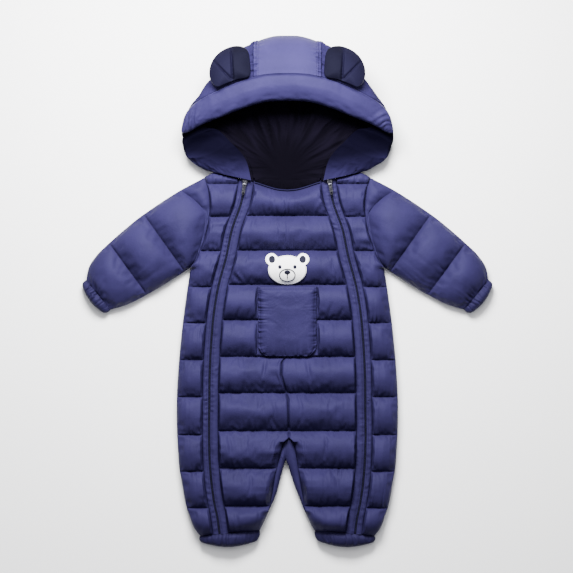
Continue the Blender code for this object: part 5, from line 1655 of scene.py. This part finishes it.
class SNOWSUIT_OT_patch(bpy.types.Operator):
    """Bear's head: rings drawn in from an ellipse joined with two circles, laid on the padding, its
    features low domes and cords of satin stitch."""
    bl_idname = "snowsuit.patch"
    bl_label = "Bear patch"

    def execute(self, context):
        felt, dark, grey = material("white_felt"), material("thread_charcoal"), material("thread_grey")
        face = loft("bear_cloth", patch_rings(), felt, replaces=("bear_patch",), slot="patch_cloth")
        cx, cy = BEAR_HEAD[:2]
        ear_x, ear_y = BEAR_EAR[:2]

        def domed(name, rings, finish):
            """One raised feature."""
            loft(name, rings, finish, slot="patch_cloth")

        def line(name, path, radius, finish, closed=False):
            """One cord of satin stitch along a path."""
            rings = sewn_line(path, radius, closed)
            if closed:
                faces = grid_faces(rings.shape, 0, True)
                put(name, rings, faces, finish, slot="patch_cloth")
            else:
                domed(name, rings, finish)

        for side, sign in SIDES:
            domed("bear_inner_ear_" + side, dome(sign * ear_x * 0.98, ear_y + 0.2, 5.2, 6.0, 0.5), dark)
            domed("bear_eye_" + side, dome(sign * 12.0, cy + 5.0, 2.8, 3.2, 0.9), dark)
        a = turns(72)
        line("bear_muzzle", on_patch(12.4 * np.cos(a), cy - 8.2 + 9.6 * np.sin(a)), 0.85, dark, True)
        domed("bear_nose", dome(0.0, cy - 3.6, 5.0, 3.4, 1.0), dark)
        t = np.linspace(0.0, 1.0, 14)
        line("bear_mouth", on_patch(0 * t, cy - 6.6 - 6.4 * t), 0.8, dark)
        rings = patch_rings()[7] - (0.0, 0.0, 0.1)
        centre = np.array((cx, cy, 0.0))
        border = centre + (rings - centre) * (1.012, 1.012, 1.0)
        border[:, 2] = patch_surface(border[:, 0], border[:, 1]) - 0.05
        line("bear_border", border, 0.42, grey, True)
        return {"FINISHED"}


class SNOWSUIT_OT_stitching(bpy.types.Operator):
    """Stitching: beads of thread laid end to end along the quilt seams and the edges of the bands."""
    bl_idname = "snowsuit.stitching"
    bl_label = "Stitching"

    def execute(self, context):
        long = sizes().stitch / MM
        quilt, edges = [], []
        crown = crown_grids()[0]
        run = run_along(crown)
        for sign in (-1, 1):
            quilt += seam_rows(*centre_grid(sign))
            quilt += seam_rows(*side_grid(sign))
            quilt += sleeve_rings(sign)[2]
            inner, outer = placket_grids(sign)
            edges.append(inner[2:-2, -4] + BAND_THREAD_LIFT)
            edges.append(outer[2:-2, 4] + BAND_THREAD_LIFT)
            for column in (3, 5):
                row = crown[column if sign < 0 else -1 - column]
                edges.append(row[run[column] < 92.0] + EDGE_THREAD_LIFT)
        grid = pocket_grid()
        row = np.abs(grid[:, 0, 1] - POCKET_TOP + POCKET_HEM).argmin()
        edges.append(grid[row, 6:-6] + EDGE_THREAD_LIFT)
        put("quilt_stitches", *stitch_mesh(quilt, long), material("thread_navy"))
        put("edge_stitches", *stitch_mesh(edges, long), material("thread_navy"))
        return {"FINISHED"}


class SNOWSUIT_OT_metalwork(bpy.types.Operator):
    """Sliders and pull tabs stay as the solids they are, in dark plated metal."""
    bl_idname = "snowsuit.metalwork"
    bl_label = "Sliders and pull tabs"

    def execute(self, context):
        metal = material("dark_metal")
        for side, _ in SIDES:
            for name in ("zip_slider_" + side, "pull_tab_" + side):
                node = bpy.data.objects[name]
                node.data.materials.clear()
                node.data.materials.append(metal)
        return {"FINISHED"}


class SNOWSUIT_OT_stage(bpy.types.Operator):
    """Pale floor, a broad key light from the hood's end, soft fill, and the camera straight above."""
    bl_idname = "snowsuit.stage"
    bl_label = "Floor, lights and camera"

    def execute(self, context):
        half = sizes().floor_size / 2
        mesh = bpy.data.meshes.new("floor")
        mesh.from_pydata([(-half, -half, 0.0), (half, -half, 0.0), (half, half, 0.0), (-half, half, 0.0)],
                         [], [(0, 1, 2, 3)])
        mesh.materials.append(material("pale_floor"))
        floor = bpy.data.objects.new("floor", mesh)
        context.scene.collection.objects.link(floor)
        for name, place, turn, wide, power in (
                ("key", (-0.08, 0.74, 0.88), (-39.0, 0.0, -3.0), (0.6, 0.4), 82.0),
                ("fill", (0.1, 0.9, 2.6), (-18.0, 2.0, 0.0), (2.0, 2.0), 44.0)):
            data = bpy.data.lights.new(name, "AREA")
            data.shape = "RECTANGLE"
            data.size, data.size_y = wide
            data.energy = power
            light = bpy.data.objects.new(name, data)
            light.location = place
            light.rotation_euler = [math.radians(angle) for angle in turn]
            context.scene.collection.objects.link(light)
        world = bpy.data.worlds.new("studio")
        world.use_nodes = True
        backdrop = world.node_tree.nodes["Background"]
        backdrop.inputs["Color"].default_value = (0.93, 0.94, 1.0, 1.0)
        backdrop.inputs["Strength"].default_value = 0.4
        context.scene.world = world
        data = bpy.data.cameras.new("camera")
        data.lens = 200.0
        data.sensor_width = 36.0
        camera = bpy.data.objects.new("camera", data)
        camera.location = (-0.0013, 0.0084, 5.11)
        context.scene.collection.objects.link(camera)
        context.scene.camera = camera
        return {"FINISHED"}


OPERATORS = (
    SNOWSUIT_OT_panels, SNOWSUIT_OT_zips, SNOWSUIT_OT_sleeves, SNOWSUIT_OT_cuffs, SNOWSUIT_OT_hood,
    SNOWSUIT_OT_ears, SNOWSUIT_OT_trim, SNOWSUIT_OT_patch, SNOWSUIT_OT_stitching,
    SNOWSUIT_OT_metalwork, SNOWSUIT_OT_stage,
)


class SNOWSUIT_PT_pieces(bpy.types.Panel):
    """Sidebar panel that lists the sizes, the colours and every step."""
    bl_idname = "SNOWSUIT_PT_pieces"
    bl_label = "Snowsuit"
    bl_space_type = "VIEW_3D"
    bl_region_type = "UI"
    bl_category = "Snowsuit"

    def draw(self, context):
        for group in (context.scene.snowsuit_sizes, context.scene.snowsuit_colours):
            for key in group.bl_rna.properties.keys():
                if key not in ("rna_type", "name"):
                    self.layout.prop(group, key)
        for operator in OPERATORS:
            self.layout.operator(operator.bl_idname)


CLASSES = (SnowsuitSizes, SnowsuitColours, *OPERATORS, SNOWSUIT_PT_pieces)


def register():
    """Adds the classes, and the two groups of settings to each scene."""
    for item in CLASSES:
        bpy.utils.register_class(item)
    bpy.types.Scene.snowsuit_sizes = bpy.props.PointerProperty(type=SnowsuitSizes)
    bpy.types.Scene.snowsuit_colours = bpy.props.PointerProperty(type=SnowsuitColours)


def unregister():
    """Takes the settings and the classes away again."""
    del bpy.types.Scene.snowsuit_colours
    del bpy.types.Scene.snowsuit_sizes
    for item in reversed(CLASSES):
        bpy.utils.unregister_class(item)


def main():
    """Builds every piece in order."""
    register()
    for step in (bpy.ops.snowsuit.panels, bpy.ops.snowsuit.zips, bpy.ops.snowsuit.sleeves,
                 bpy.ops.snowsuit.cuffs, bpy.ops.snowsuit.hood, bpy.ops.snowsuit.ears,
                 bpy.ops.snowsuit.trim, bpy.ops.snowsuit.patch, bpy.ops.snowsuit.stitching,
                 bpy.ops.snowsuit.metalwork, bpy.ops.snowsuit.stage):
        step()


if __name__ == "__main__":
    main()
